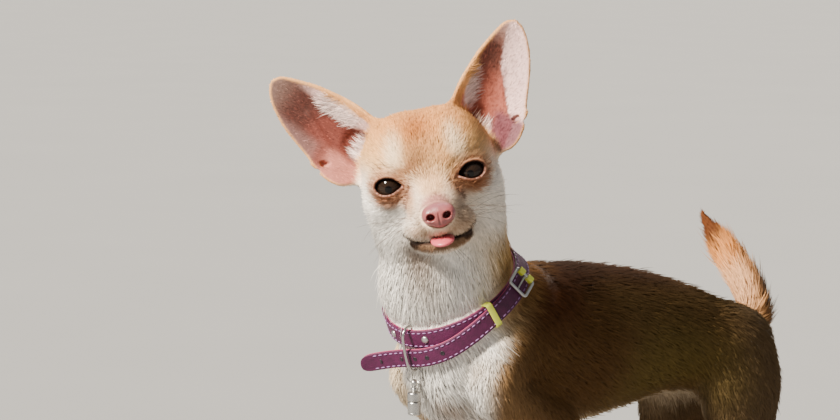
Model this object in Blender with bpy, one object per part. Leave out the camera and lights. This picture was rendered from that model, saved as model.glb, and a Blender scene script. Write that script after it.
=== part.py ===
"""A smooth-coated chihuahua, standing and looking round to its left, as a life-size still model.

The row frame is in metres, with +Z up, the body facing -Y and the dog's left side at +X.
The flesh is described in millimetres, in frames of its own whose axes are (left, back, up): the
forequarters', the hindquarters', the head's and one for each ear. It is one smooth field of
muscle masses, measured out to the tips of the coat. Each named part is a surface of that field,
and thin cuts part the pieces from each other. The collar is laid round the field's neck.
"""

import math

import bmesh
import bpy
import numpy as np
import openvdb
from mathutils import Matrix

MM = 0.001
GAP = 0.3
FAR = 60.0
CULL = 25.0

# Driving dimensions of the dog, in millimetres and degrees
WITHERS_TO_CROUP = 130.0
SPINE_PIVOT = 60.0
SPINE_BEND = 5.0
HEAD_TURN = 55.0
HEAD_TILT = 11.2
EYE_SPACING = 43.0
EYEBALL_RADIUS = 8.6
EYE_BACK = 2.0
NOSE_AT = (1.2, -32.5, -16.0)
TONGUE_AT = (0.6, -27.0, -30.3)
MOUTH_LEVEL = -30.5
EAR_LENGTH = 59.0
EAR_LEAN = {1: 32.0, -1: 43.0}
EAR_BASE = {1: (30.3, 31, 22.7), -1: (-34.3, 31, 22.8)}
STRIDE = 13.0
TOES = 4

# The collar: a strap round the neck, with its free end threaded through the D-ring
STRAP_HEIGHT = 10.0
STRAP_THICKNESS = 1.9
BAND_OUT = 0.4
BUCKLE_AT = 118.0
KEEPER_AT = 84.0
DEE_AT = 3.0
DEE_WIRE = 0.8
SPLIT_RING_RADIUS = 4.2
SPLIT_RING_WIRE = 0.5
TAG_TURN = 50.0
TONGUE_RADII = (6.3, 8.5, 2.3)

LEFT, RIGHT = 1, -1
SIDE_NAMES = {LEFT: "left", RIGHT: "right"}


class Frame:
    """A body part's own axes, (left, back, up), placed in the row frame."""

    def __init__(self, origin, turn=0.0, nod=0.0, tilt=0.0):
        """Turned to the dog's left about up, then nodded down, then tilted to its right, in degrees."""
        self.origin = np.array(origin, float)
        self.axes = np.array(
            Matrix.Rotation(math.radians(turn), 3, "Z")
            @ Matrix.Rotation(math.radians(nod), 3, "X")
            @ Matrix.Rotation(math.radians(-tilt), 3, "Y")
        )

    def place(self, point):
        """Points of this frame, in the row frame."""
        return self.origin + np.asarray(point, float) @ self.axes.T

    def locate(self, points):
        """Points of the row frame, in this frame."""
        return (points - self.origin) @ self.axes

    def inside(self, point, turn=0.0, nod=0.0, tilt=0.0):
        """A frame at a point of this one, turned from it."""
        child = Frame(self.place(point), turn, nod, tilt)
        child.axes = self.axes @ child.axes
        return child


def spine_frame(along, turn):
    """A frame on the ground under the spine, that far behind the pivot of its bend."""
    pivot = Frame((0, SPINE_PIVOT, 0), turn)
    return pivot.inside((0, along, 0))


FORE = spine_frame(-SPINE_PIVOT, SPINE_BEND)
HIND = spine_frame(WITHERS_TO_CROUP - SPINE_PIVOT, -SPINE_BEND)
HEAD = Frame((29.0, -82.0, 260.5), turn=HEAD_TURN, nod=-1.2, tilt=HEAD_TILT)
EARS = {
    side: HEAD.inside(EAR_BASE[side], nod=2, tilt=-side * EAR_LEAN[side]) for side in (LEFT, RIGHT)
}

# Half-widths of the ear from its axis, at fractions of its length: fraction, inner side, outer side
EAR_OUTLINE = [
    (-0.30, 13.0, 12.0),
    (-0.12, 16.0, 21.0),
    (0.00, 17.0, 24.0),
    (0.16, 17.5, 24.3),
    (0.34, 16.6, 21.6),
    (0.60, 13.6, 17.6),
    (0.76, 10.4, 13.8),
    (0.88, 7.6, 9.6),
    (0.96, 4.8, 5.2),
    (1.00, 0.6, 0.6),
]


# Shapes of the field. Each gives the signed distance from points to a mass, negative inside


def scaled_distance(local, radii):
    """Distance to an ellipsoid whose radii may differ from point to point."""
    scaled = local / radii
    reach = np.sqrt((scaled**2).sum(-1)) + 1e-9
    slope = np.sqrt(((scaled / radii) ** 2).sum(-1)) + 1e-9
    return reach * (reach - 1.0) / slope


def ellipsoid(points, centre, radii, turn=0.0, nod=0.0, tilt=0.0):
    """Distance to an ellipsoid with these half-sizes to the left, back and up."""
    radii = np.array(radii, float)
    found = np.full(len(points), FAR)
    near = ((points - np.array(centre)) ** 2).sum(-1) < (radii.max() + CULL) ** 2
    if near.any():
        found[near] = scaled_distance(Frame(centre, turn, nod, tilt).locate(points[near]), radii)
    return found


def smooth_path(rows, steps):
    """A Catmull-Rom curve through rows of numbers, with steps to each stretch."""
    rows = np.array(rows, float)
    ends = np.vstack([2 * rows[0] - rows[1], rows, 2 * rows[-1] - rows[-2]])
    found = [rows[0]]
    for before, start, end, after in zip(ends, ends[1:], ends[2:], ends[3:]):
        for step in range(1, steps + 1):
            t = step / steps
            found.append(
                0.5
                * (
                    2 * start
                    + (end - before) * t
                    + (2 * before - 5 * start + 4 * end - after) * t**2
                    + (3 * start - before - 3 * end + after) * t**3
                )
            )
    return np.array(found)


def tube(points, rows, across=(1, 0, 0), steps=4):
    """Distance to a tapering tube. A row is the centre, the half-width across and the half-depth."""
    rows = smooth_path(rows, steps)
    found = np.full(len(points), FAR)
    for start, end in zip(rows, rows[1:]):
        run = end[:3] - start[:3]
        length = np.linalg.norm(run)
        reach = length / 2 + max(start[3:].max(), end[3:].max()) + CULL
        near = ((points - (start[:3] + end[:3]) / 2) ** 2).sum(-1) < reach**2
        if not near.any():
            continue
        along = run / length
        side = np.array(across) - (np.array(across) @ along) * along
        side /= np.linalg.norm(side)
        axes = np.stack([side, np.cross(along, side), along], axis=1)
        offset = points[near] - start[:3]
        share = np.clip(offset @ along / length, 0.0, 1.0)[:, None]
        size = start[3:] + share * (end[3:] - start[3:])
        radii = np.concatenate([size, size.mean(-1, keepdims=True)], axis=-1)
        distance = scaled_distance((offset - share * run) @ axes, radii)
        found[near] = np.minimum(found[near], distance)
    return found


def joined(first, second, fillet):
    """Smooth union of two masses, filled in where they meet."""
    near = np.maximum(fillet - np.abs(first - second), 0.0)
    return np.minimum(first, second) - near**2 / (4.0 * fillet)


def carved(mass, tool, fillet):
    """A mass with another one taken out of it, with a rounded edge."""
    return -joined(-mass, tool, fillet)


def outline_distance(flat, corners):
    """Signed distance from points in a plane to a closed outline, negative inside it."""
    nearest = np.full(len(flat), 1e9)
    inside = np.zeros(len(flat), bool)
    for start, end in zip(corners, np.roll(corners, -1, axis=0)):
        run, offset = end - start, flat - start
        share = np.clip(offset @ run / (run @ run), 0.0, 1.0)[:, None]
        nearest = np.minimum(nearest, np.linalg.norm(offset - share * run, axis=1))
        spans = (start[1] > flat[:, 1]) != (end[1] > flat[:, 1])
        with np.errstate(divide="ignore", invalid="ignore"):
            crossing = start[0] + (flat[:, 1] - start[1]) * run[0] / run[1]
        inside ^= spans & (flat[:, 0] < crossing)
    return np.where(inside, -nearest, nearest)


# The dog's flesh


def trunk(points):
    """Thorax, loin and croup along the bent spine, with the breastbone."""
    fore_rows = [(0, -46, 158, 28, 28), (0, -20, 159, 39, 44), (0, 18, 158, 43, 46)]
    hind_rows = [(0, -74, 157, 43, 42), (0, -40, 156, 38, 35), (0, -4, 148, 35, 29), (0, 20, 138, 28, 23)]
    rows = [(*FORE.place(row[:3]), *row[3:]) for row in fore_rows]
    rows += [(*HIND.place(row[:3]), *row[3:]) for row in hind_rows]
    mass = tube(points, rows)
    breastbone = ellipsoid(FORE.locate(points), (0, -52, 146), (25, 22, 25))
    return joined(mass, breastbone, 16)


def neck(points):
    """Neck and throat, from between the shoulders to the skull."""
    rows = [
        (0, -24, 170, 35, 36),
        (-4, -52, 194, 36, 38),
        (-5, -56, 220, 35, 37),
        (-5, -58, 242, 30, 32),
    ]
    return tube(FORE.locate(points), rows)


def foreleg(points, side):
    """Shoulder, upper arm, forearm and paw. The right leg stands forward and the left leg back."""
    local = FORE.locate(points)
    step = STRIDE * side
    shoulder = [
        (side * 22, -4, 184, 12, 14),
        (side * 34, -51, 149, 14, 15),
        (side * 34, -18 + step / 2, 118, 11, 15),
    ]
    forearm = [
        (side * 34, -14 + step / 2, 120, 10, 13),
        (side * 32, -22 + 0.7 * step, 84, 8.5, 9.5),
        (side * 30, -26 + step, 46, 7.2, 7.8),
        (side * 30, -29 + step, 16, 8, 8),
    ]
    mass = joined(tube(local, shoulder), tube(local, forearm), 8)
    return joined(mass, paw(local, *fore_paw(side)), 6)


def hindleg(points, side):
    """Thigh, second thigh, hock and paw."""
    local = HIND.locate(points)
    step = 3.0 * side
    thigh = [
        (side * 20, 7, 148, 18, 30),
        (side * 27, 7 + step, 124, 16, 28),
        (side * 30, 6 + step, 100, 12, 21),
    ]
    shin = [
        (side * 30, 4 + step, 102, 11, 19),
        (side * 29, 26 + step, 80, 9, 12.5),
        (side * 28, 44 + step, 58, 6.5, 8),
    ]
    hock = [
        (side * 28, 45 + step, 58, 6.5, 8),
        (side * 28, 41 + step, 36, 6.8, 7),
        (side * 28, 36 + step, 14, 8, 8),
    ]
    mass = joined(tube(local, thigh), tube(local, shin), 8)
    mass = joined(mass, tube(local, hock), 5)
    return joined(mass, paw(local, *hind_paw(side)), 6)


def fore_paw(side):
    """Middle and half-sizes of a front paw, in the forequarters' frame."""
    return (side * 30, -38 + STRIDE * side, 0), 12.5, 17.0


def hind_paw(side):
    """Middle and half-sizes of a back paw, in the hindquarters' frame."""
    return (side * 28, 26 + 3.0 * side, 0), 12.0, 16.5


def toe_tip(number, centre, half_width, half_length):
    """The middle of a toe and the turn it points with, counted from the dog's right."""
    spread = (number - (TOES - 1) / 2) / ((TOES - 1) / 2)
    forward = half_length * (0.32 + 0.26 * (1.0 - abs(spread)))
    return (centre[0] + spread * half_width * 0.68, centre[1] - forward, 5.5), 10 * spread


def paw(local, centre, half_width, half_length):
    """A paw with its toes. Its sole lies below the ground, so that it is cut flat."""
    radii = (half_width * 0.9, half_length * 0.7, 10)
    mass = ellipsoid(local, (centre[0], centre[1] + 5, 8), radii)
    for number in range(TOES):
        tip, turn = toe_tip(number, centre, half_width, half_length)
        mass = joined(mass, ellipsoid(local, tip, (4.4, 8.0, 6.8), turn=turn), 2.0)
    return mass


def tail(points):
    """A sickle tail, carried up over the back, with its brush."""
    rows = [
        (0, 24, 149, 9, 10),
        (0, 40, 156, 9.5, 10),
        (-4, 39, 176, 9.5, 9.5),
        (-10, 26, 200, 8, 8),
        (-16, 14, 221, 3.5, 3.5),
    ]
    return tube(HIND.locate(points), rows)


def skull(local):
    """Domed forehead, cheeks and short muzzle, in the head's frame."""
    mass = ellipsoid(local, (0, 27, 3), (35, 37, 32.5))
    for side in (LEFT, RIGHT):
        mass = joined(mass, ellipsoid(local, (side * 13, 16, 9), (21, 25, 26)), 8)
        mass = joined(mass, ellipsoid(local, (side * 26, 20, -10), (12, 20, 13)), 8)
        mass = joined(mass, ellipsoid(local, (side * 18, 24, -24), (16, 20, 14)), 10)
        mass = joined(mass, ellipsoid(local, (side * EYE_SPACING / 2, 2.5, 0), (11, 10, 10)), 5)
    mass = joined(mass, muzzle(local), 7)
    for side in (LEFT, RIGHT):
        centre = (side * (EYE_SPACING / 2 + 1.6), -6, 0)
        almond = ellipsoid(local, centre, (6.6, 9, 4.7), turn=12 * side, tilt=4 * side)
        mass = carved(mass, almond, 2.0)
    return mass


def muzzle(local):
    """Bridge of the nose, upper lips and lower jaw."""
    upper = [
        (0, 2, -12, 17, 12),
        (0, -11, -14, 14.5, 11),
        (0, -21, -18, 11.5, 10),
        (0, -27, -18.5, 10, 9.2),
    ]
    lower = [(0, 14, -29.5, 20, 10), (0, -4, -31, 17.5, 8), (0, -17, -32, 12.5, 6.4)]
    mass = joined(tube(local, upper), tube(local, lower), 3)
    for side in (LEFT, RIGHT):
        lip = ellipsoid(local, (side * 9.5, -13, -23.5), (9.8, 14.3, 8), turn=-16 * side)
        mass = joined(mass, lip, 4)
    return mass


def nose(local, nostrils=True):
    """The nose pad with its two nostrils, in the head's frame."""
    x, y, z = NOSE_AT
    mass = ellipsoid(local, (x, y, z + 0.5), (8.0, 7, 5.8))
    mass = joined(mass, ellipsoid(local, (x, y - 0.5, z - 3), (5, 5.5, 4)), 3)
    for side in (LEFT, RIGHT):
        mass = joined(mass, ellipsoid(local, (x + side * 4.7, y - 1.5, z - 0.2), (4.0, 5.2, 4.6)), 2)
    for side in (LEFT, RIGHT):
        hole = ellipsoid(local, (x + side * 4.1, y - 6.5, z - 0.8), (2.1, 3.5, 1.6), tilt=20 * side)
        mass = carved(mass, hole, 0.8) if nostrils else mass
    return mass


def ear(local, side):
    """A thin upright shell cupped forward, in the ear's own frame."""
    rows = smooth_path(EAR_OUTLINE, 3)
    inner, outer = rows[:, [1, 0]] * (-1, EAR_LENGTH), rows[::-1, [2, 0]] * (1, EAR_LENGTH)
    near = (np.abs(local) < (40, 40, 90)).all(-1)
    found = np.full(len(local), FAR)
    if not near.any():
        return found
    across, back, up = local[near].T
    across = across * side
    share = np.clip(up / EAR_LENGTH, -0.3, 1.0)
    cup = 0.021 + 0.02 * np.clip(1.0 - share / 0.35, 0.0, 1.3)
    lean = 6.0 - 5.0 * share**2
    middle = lean - cup * (across - 1.5) ** 2
    slope = 1.0 / np.sqrt(1.0 + (2.0 * cup * (across - 1.5)) ** 2)
    half = 2.4 - 1.0 * np.clip(share, 0.0, 1.0)
    rim = outline_distance(np.stack([across, up], axis=1), np.vstack([inner, outer])) + half
    face = np.abs(back - middle) * slope
    corner = np.sqrt(np.maximum(face, 0.0) ** 2 + np.maximum(rim, 0.0) ** 2)
    found[near] = corner + np.minimum(np.maximum(face, rim), 0.0) - half
    return found


def flesh(points):
    """The whole dog without its eyes, nose pad, claws and collar."""
    mass = joined(trunk(points), neck(points), 22)
    for side in (LEFT, RIGHT):
        mass = joined(mass, foreleg(points, side), 9)
        mass = joined(mass, hindleg(points, side), 9)
    mass = joined(mass, tail(points), 8)
    mass = joined(mass, skull(HEAD.locate(points)), 12)
    for side in (LEFT, RIGHT):
        mass = joined(mass, ear(EARS[side].locate(points), side), 7)
    return mass


# Making meshes of the field


def sampled(field, low, counts, voxel, block=4):
    """The field on a grid, exact near its zero surface and only rough away from it."""
    tall = [int(math.ceil(count / block)) for count in counts]
    ticks = np.stack(np.meshgrid(*map(np.arange, tall), indexing="ij"), axis=-1).reshape(-1, 3)
    rough = field(low + (ticks + 0.5) * block * voxel)
    values = rough.reshape(tall)
    for axis in range(3):
        values = np.repeat(values, block, axis)
    corners = np.stack(np.meshgrid(*[np.arange(block)] * 3, indexing="ij"), axis=-1).reshape(-1, 3)
    near = ticks[np.abs(rough) < 1.5 * block * voxel]
    index = (near[:, None] * block + corners).reshape(-1, 3)
    values[tuple(index.T)] = field(low + index * voxel)
    return values


def polygonised(name, field, low, high, voxel, level=0.0):
    """The surface of a field between two corners, closed off at their box, as a mesh."""
    low, high = np.array(low, float), np.array(high, float)
    values = sampled(field, low, (high - low) / voxel, voxel) - level
    for axis in range(3):
        edge = np.moveaxis(values, axis, 0)
        edge[0] = edge[-1] = voxel
    grid = openvdb.FloatGrid(FAR)
    grid.copyFromArray(values.astype(np.float32))
    corners, _, quads = grid.convertToPolygons()
    mesh = bpy.data.meshes.new(name)
    mesh.from_pydata((corners * voxel + low) * MM, [], quads.tolist())
    return mesh


def linked(name, mesh, colour=None, metallic=0.0, roughness=0.6):
    """An object of a mesh, with a material of its own."""
    made = bpy.data.objects.new(name, mesh)
    bpy.context.scene.collection.objects.link(made)
    if colour is None:
        made.hide_render = True
        made.display_type = "WIRE"
        return made
    finish = bpy.data.materials.new(name)
    finish.use_nodes = True
    shader = finish.node_tree.nodes["Principled BSDF"]
    shader.inputs["Base Color"].default_value = (*colour, 1)
    shader.inputs["Metallic"].default_value = metallic
    shader.inputs["Roughness"].default_value = roughness
    finish.diffuse_color = (*colour, 1)
    mesh.materials.append(finish)
    return made


def reduced(mesh, triangles):
    """The same surface with about that many triangles."""
    holder = bpy.data.objects.new("holder", mesh)
    bpy.context.scene.collection.objects.link(holder)
    shrink = holder.modifiers.new("facets", "DECIMATE")
    shrink.ratio = triangles / (2 * len(mesh.polygons))
    depsgraph = bpy.context.evaluated_depsgraph_get()
    made = bpy.data.meshes.new_from_object(holder.evaluated_get(depsgraph))
    bpy.data.objects.remove(holder)
    made.name = mesh.name
    made.shade_smooth()
    return made


def mesh_of(name, points, faces):
    """A mesh from points in millimetres, with its faces turned outward."""
    mesh = bpy.data.meshes.new(name)
    mesh.from_pydata((np.array(points, float) * MM).tolist(), [], faces)
    shell = bmesh.new()
    shell.from_mesh(mesh)
    bmesh.ops.recalc_face_normals(shell, faces=shell.faces)
    shell.to_mesh(mesh)
    shell.free()
    return mesh


def lofted(name, rings, closed=False):
    """A skin through rings of points, with its ends capped or joined up."""
    count, size = len(rings), len(rings[0])
    faces = []
    for ring in range(count if closed else count - 1):
        after = (ring + 1) % count
        for corner in range(size):
            beside = (corner + 1) % size
            quad = (ring, corner), (ring, beside), (after, beside), (after, corner)
            faces.append([station * size + place for station, place in quad])
    if not closed:
        faces.append(list(range(size)))
        faces.append([(count - 1) * size + corner for corner in range(size)])
    return mesh_of(name, np.concatenate(rings), faces)


def circle(sides):
    """Points round a unit circle."""
    turns = [2 * math.pi * step / sides for step in range(sides)]
    return [(math.cos(turn), math.sin(turn)) for turn in turns]


def lathed(name, frame, profile, sides=10):
    """A turned shape about a frame's up axis, from radii and heights."""
    rings = [
        frame.place([(radius * x, radius * y, height) for x, y in circle(sides)])
        for radius, height in profile
    ]
    mesh = lofted(name, rings)
    mesh.shade_smooth()
    return mesh


def ball(name, frame, radii, sides=13, rows=8, grow=0.0):
    """A faceted ellipsoid about a frame's origin."""
    wide, deep, high = (radius + grow for radius in radii)
    polars = [math.pi * row / rows for row in range(1, rows)]
    rings = [
        frame.place([
            (wide * math.sin(polar) * x, deep * math.sin(polar) * y, high * math.cos(polar))
            for x, y in circle(sides)
        ])
        for polar in polars
    ]
    mesh = lofted(name, rings)
    mesh.shade_smooth()
    return mesh


def wire_loop(name, points, radius, sides=6):
    """A closed ring of round wire through points."""
    points = np.array(points, float)
    middle = points.mean(axis=0)
    normal = np.cross(points[0] - middle, points[len(points) // 4] - middle)
    normal /= np.linalg.norm(normal)
    rings = []
    for before, point, after in zip(np.roll(points, 1, axis=0), points, np.roll(points, -1, axis=0)):
        outward = np.cross(after - before, normal)
        outward /= np.linalg.norm(outward)
        rings.append(point + radius * np.array([x * outward + z * normal for x, z in circle(sides)]))
    mesh = lofted(name, rings, closed=True)
    mesh.shade_smooth()
    return mesh


def box(name, frame, low, high):
    """A box between two corners of a frame."""
    ends = [[(x, y, z) for x, y in plan_corners(low, high)] for z in (low[2], high[2])]
    return lofted(name, [frame.place(end) for end in ends])


def plan_corners(low, high):
    """The four corners of a rectangle, in order."""
    return [(low[0], low[1]), (high[0], low[1]), (high[0], high[1]), (low[0], high[1])]


def prism(name, frame, profile, start, end):
    """An outline of (left, up) points drawn out along a frame's back axis."""
    return lofted(name, [frame.place([(x, y, z) for x, z in profile]) for y in (start, end)])


def cut(piece, tool, operation="DIFFERENCE"):
    """Takes a cutter away from a piece, or keeps only what lies inside it."""
    step = piece.modifiers.new(tool.name, "BOOLEAN")
    step.operation = operation
    step.solver = "EXACT"
    step.object = tool


def parted(name, frame, lower, upper):
    """Parts pieces at a frame's level plane: the lower ones lose what is above it, and so on."""
    above = linked("cut_" + name + "_above", box("above", frame, (-200, -200, -GAP / 2), (200, 200, 300)))
    below = linked("cut_" + name + "_below", box("below", frame, (-200, -200, -300), (200, 200, GAP / 2)))
    for piece in lower:
        cut(piece, above)
    for piece in upper:
        cut(piece, below)


# The collar


class Hoop:
    """Where the collar lies on the coat of the neck. Angles run from the front round to the left."""

    def __init__(self):
        """Feels for the coat's surface a little above and below the strap's middle."""
        self.frame = FORE.inside((-4, -58.6, 189.2), turn=9.5, nod=31.7)
        self.reach = {height: self.measured(height) for height in (-4.0, 4.0)}

    def measured(self, height):
        """Smooth harmonics of the distance from the middle to the coat."""
        turns = np.radians(np.arange(0, 360, 5))[:, None]
        steps = np.arange(16.0, 70.0, 0.75)
        shape = (len(turns), len(steps))
        rays = np.stack([np.sin(turns) * steps, -np.cos(turns) * steps, np.full(shape, height)], axis=-1)
        values = flesh(self.frame.place(rays).reshape(-1, 3)).reshape(shape)
        outside = (values > 0).argmax(axis=1)
        rows = np.arange(len(turns))
        inner, outer = values[rows, outside - 1], values[rows, outside]
        found = steps[outside - 1] - 0.75 * inner / (outer - inner)
        waves = np.fft.rfft(found) / len(turns)
        return waves[:5]

    def point(self, angle, height):
        """A point on the coat."""
        turn = math.radians(angle)
        reach = []
        for waves in self.reach.values():
            sway = sum(2 * (wave * np.exp(1j * n * turn)).real for n, wave in enumerate(waves) if n)
            reach.append(waves[0].real + sway)
        radius = reach[0] + (reach[1] - reach[0]) * (height + 4.0) / 8.0
        return self.frame.place((math.sin(turn) * radius, -math.cos(turn) * radius, height))

    def seat(self, angle, height=0.0, out=0.0):
        """A frame on the coat there: left along the strap, back into the neck, up its face."""
        here = self.point(angle, height)
        along = self.point(angle + 1, height) - self.point(angle - 1, height)
        along /= np.linalg.norm(along)
        rise = self.point(angle, height + 1) - self.point(angle, height - 1)
        outward = np.cross(along, rise)
        outward /= np.linalg.norm(outward)
        found = Frame(here + out * outward)
        found.axes = np.stack([along, -outward, np.cross(outward, along)], axis=1)
        return found


def strap(name, seats, closed=False, grow=0.0, rounded=False):
    """A flat strap along frames, with its tip rounded when asked."""
    rings = []
    for number, seat in enumerate(seats):
        left = len(seats) - 1 - number
        narrow = {0: 0.3, 1: 0.72, 2: 0.93}.get(left, 1.0) if rounded else 1.0
        high = STRAP_HEIGHT / 2 * narrow + grow
        deep = STRAP_THICKNESS / 2 + grow
        rings.append(seat.place([(0, -deep, -high), (0, deep, -high), (0, deep, high), (0, -deep, high)]))
    return lofted(name, rings, closed)


def free_end_seats(hoop):
    """The free end of the strap: round over the band, down through the D-ring, then off straight."""
    rows = [(122, 0, 2.7), (104, -0.5, 2.7), (84, -1.5, 2.7), (62, -4, 2.9)]
    rows += [(40, -7, 3.4), (20, -8.8, 3.9), (4, -9.6, 4.3)]
    seats = [hoop.seat(*row) for row in smooth_path(rows, 3)]
    last = seats[-1]
    for away in (5, 10, 15, 20, 25, 27.8, 29.4, 30.2):
        onward = Frame(last.place((-away, -0.009 * away**2, -0.13 * away)))
        onward.axes = last.axes
        seats.append(onward)
    return seats


def hollow(name, frame, low, high, wall, half, grow=0.0):
    """A frame round an opening given by its (back, up) corners, drawn out to both sides."""
    outer = plan_corners(np.array(low) - wall - grow, np.array(high) + wall + grow)
    inner = plan_corners(np.array(low) + grow, np.array(high) - grow)
    ends = (outer, -half - grow), (outer, half + grow), (inner, half + grow), (inner, -half - grow)
    rings = [frame.place([(x, y, z) for y, z in corners]) for corners, x in ends]
    return lofted(name, rings, closed=True)


# Colours
FUR = {
    "head": (0.72, 0.55, 0.38),
    "lower_jaw": (0.62, 0.45, 0.34),
    "ear_left": (0.62, 0.40, 0.30),
    "ear_right": (0.60, 0.38, 0.29),
    "neck": (0.85, 0.78, 0.68),
    "trunk": (0.42, 0.26, 0.15),
    "tail": (0.50, 0.28, 0.14),
    "foreleg_left": (0.70, 0.55, 0.42),
    "foreleg_right": (0.72, 0.58, 0.45),
    "hindleg_left": (0.46, 0.30, 0.18),
    "hindleg_right": (0.45, 0.29, 0.17),
}
PURPLE = (0.13, 0.025, 0.10)
STEEL = (0.62, 0.62, 0.60)
LIME = (0.55, 0.56, 0.16)
HORN = (0.16, 0.11, 0.08)
EYE_BROWN = (0.05, 0.03, 0.02)
NOSE_PINK = (0.45, 0.20, 0.18)
TONGUE_PINK = (0.62, 0.22, 0.24)

# The planes that part the neck, the tail and the ears from their neighbours
NECK_BASE = FORE.inside((0, -50, 178), nod=32)
NECK_TOP = HEAD.inside((0, 20, -38), nod=27)
TAIL_BASE = HIND.inside((0, 34.5, 161.5), nod=-45)
EAR_BASES = {side: EARS[side].inside((0, 0, 6)) for side in (LEFT, RIGHT)}


def fleshy(name, low, high, voxel, triangles, sides=()):
    """A piece of the flesh between two corners, on the given sides of planes, not yet cut."""

    def field(points):
        """The flesh, ended a little beyond each parting plane."""
        value = flesh(points)
        for frame, sign in sides:
            value = np.maximum(value, -sign * frame.locate(points)[:, 2] - 3.0)
        return value

    mesh = reduced(polygonised(name, field, low, high, voxel), triangles)
    return linked(name, mesh, FUR[name], roughness=0.8)


def leg_profile(side, inner, crotch, outer, top, bottom, gap):
    """The section that parts a leg from the trunk: up beside the belly, then out over the limb."""
    corners = [(inner, bottom), (inner, crotch), (outer, top), (90, top), (90, bottom)]
    return [(side * (x + gap), z - (gap if z > 0 else 0)) for x, z in corners]


def build_leg(name, side, frame, shape, span, trunk_piece):
    """A leg of one side, parted from the trunk between two stations along its frame."""
    inner, crotch, outer, top = shape
    lean = 90 + math.degrees(math.atan2(outer - inner, top - crotch))
    slant = frame.inside((side * inner, 0, crotch), tilt=-side * lean)
    low, high = sorted((side * 2, side * 66))
    start, end = span[0] + frame.origin[1] - 12, span[1] + frame.origin[1] + 12
    piece = fleshy(name, (low, start, -3), (high, end, top + 6), 1.5, 360, [(slant, 1)])
    own = prism("keep", frame, leg_profile(side, *shape, 0, GAP), span[0] + GAP, span[1] - GAP)
    cut(piece, linked("keep_" + name, own), "INTERSECT")
    beside = prism("cut", frame, leg_profile(side, *shape, -20, 0), *span)
    cut(trunk_piece, linked("cut_" + name, beside))
    return piece


def build_legs(trunk_piece):
    """The four legs with their claws. Each claw stands in a pit of its paw."""
    for side in (LEFT, RIGHT):
        hand = SIDE_NAMES[side]
        fore = build_leg("foreleg_" + hand, side, FORE, (8, 112, 50, 175), (-95, 12), trunk_piece)
        hind = build_leg("hindleg_" + hand, side, HIND, (7, 104, 42, 160), (-38, 80), trunk_piece)
        for piece, seats in ((fore, foreleg_claws(side)), (hind, hindleg_claws(side))):
            for number, seat in enumerate(seats):
                name = piece.name.replace("leg", "claw") + "_" + str(number + 1)
                linked(name, claw_mesh(name, seat, 0.0), HORN, roughness=0.35)
                cut(piece, linked("pit_" + name, claw_mesh("pit", seat, GAP)))


def toe_claws(frame, plan):
    """Where the claws of a paw stand: at the front of each toe."""
    seats = []
    for number in range(TOES):
        tip, turn = toe_tip(number, *plan)
        seats.append(frame.inside(tip, turn=turn).inside((0, -5.6, 0.8)))
    return seats


def foreleg_claws(side):
    """The claws of a front paw, with the dewclaw on its inner side."""
    y = -31 + STRIDE * side
    dew = FORE.inside((side * 24.6, y, 31), turn=-35 * side, nod=50)
    return toe_claws(FORE, fore_paw(side)) + [dew]


def hindleg_claws(side):
    """The claws of a back paw."""
    return toe_claws(HIND, hind_paw(side))


def claw_mesh(name, seat, grow):
    """A claw hooked forward and down from its root."""
    rows = [(grow, 0.0, 1.35), (-3.2, -0.6, 1.15), (-5.9, -2.9, 0.3)]
    rings = []
    for y, z, radius in rows:
        wide = radius + grow
        rings.append(seat.place([(0.8 * wide * x, y, z + wide * up) for x, up in circle(5)]))
    mesh = lofted(name, rings)
    mesh.shade_smooth()
    return mesh


def build_face(head_piece, jaw_piece):
    """Eyes, nose pad and tongue, and the parting of the lower jaw from the head."""
    for side in (LEFT, RIGHT):
        name = "eye_" + SIDE_NAMES[side]
        middle = HEAD.inside((side * EYE_SPACING / 2, EYE_BACK, 0))
        linked(name, ball(name, middle, [EYEBALL_RADIUS] * 3), EYE_BROWN, roughness=0.05)
        cut(head_piece, linked("socket_" + name, ball("socket", middle, [EYEBALL_RADIUS] * 3, grow=GAP)))
    low, high = HEAD.place(NOSE_AT) - 15, HEAD.place(NOSE_AT) + 15
    pad = polygonised("nose", lambda points: nose(HEAD.locate(points)), low, high, 0.7)
    linked("nose", reduced(pad, 220), NOSE_PINK, roughness=0.4)
    bed = polygonised("bed", lambda points: nose(HEAD.locate(points), False), low, high, 0.7, level=GAP)
    cut(head_piece, linked("bed_nose", reduced(bed, 180)))
    tongue_seat = HEAD.inside(TONGUE_AT, nod=14)
    linked("tongue", ball("tongue", tongue_seat, TONGUE_RADII, 12, 7), TONGUE_PINK, roughness=0.35)
    slot = linked("slot_tongue", ball("slot", tongue_seat, TONGUE_RADII, 12, 7, grow=GAP))
    smile = [(x, MOUTH_LEVEL + 0.0068 * x * x) for x in range(-30, 31, 5)]
    lower = [(x, z - GAP) for x, z in smile]
    cut(head_piece, linked("cut_jaw", prism("cut", HEAD, smile + [(30, -46), (-30, -46)], -60, -3)))
    cut(
        jaw_piece,
        linked("keep_jaw", prism("keep", HEAD, lower + [(29.7, -45.7), (-29.7, -45.7)], -60, -3.3)),
        "INTERSECT",
    )
    for piece in (head_piece, jaw_piece):
        cut(piece, slot)


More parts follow.
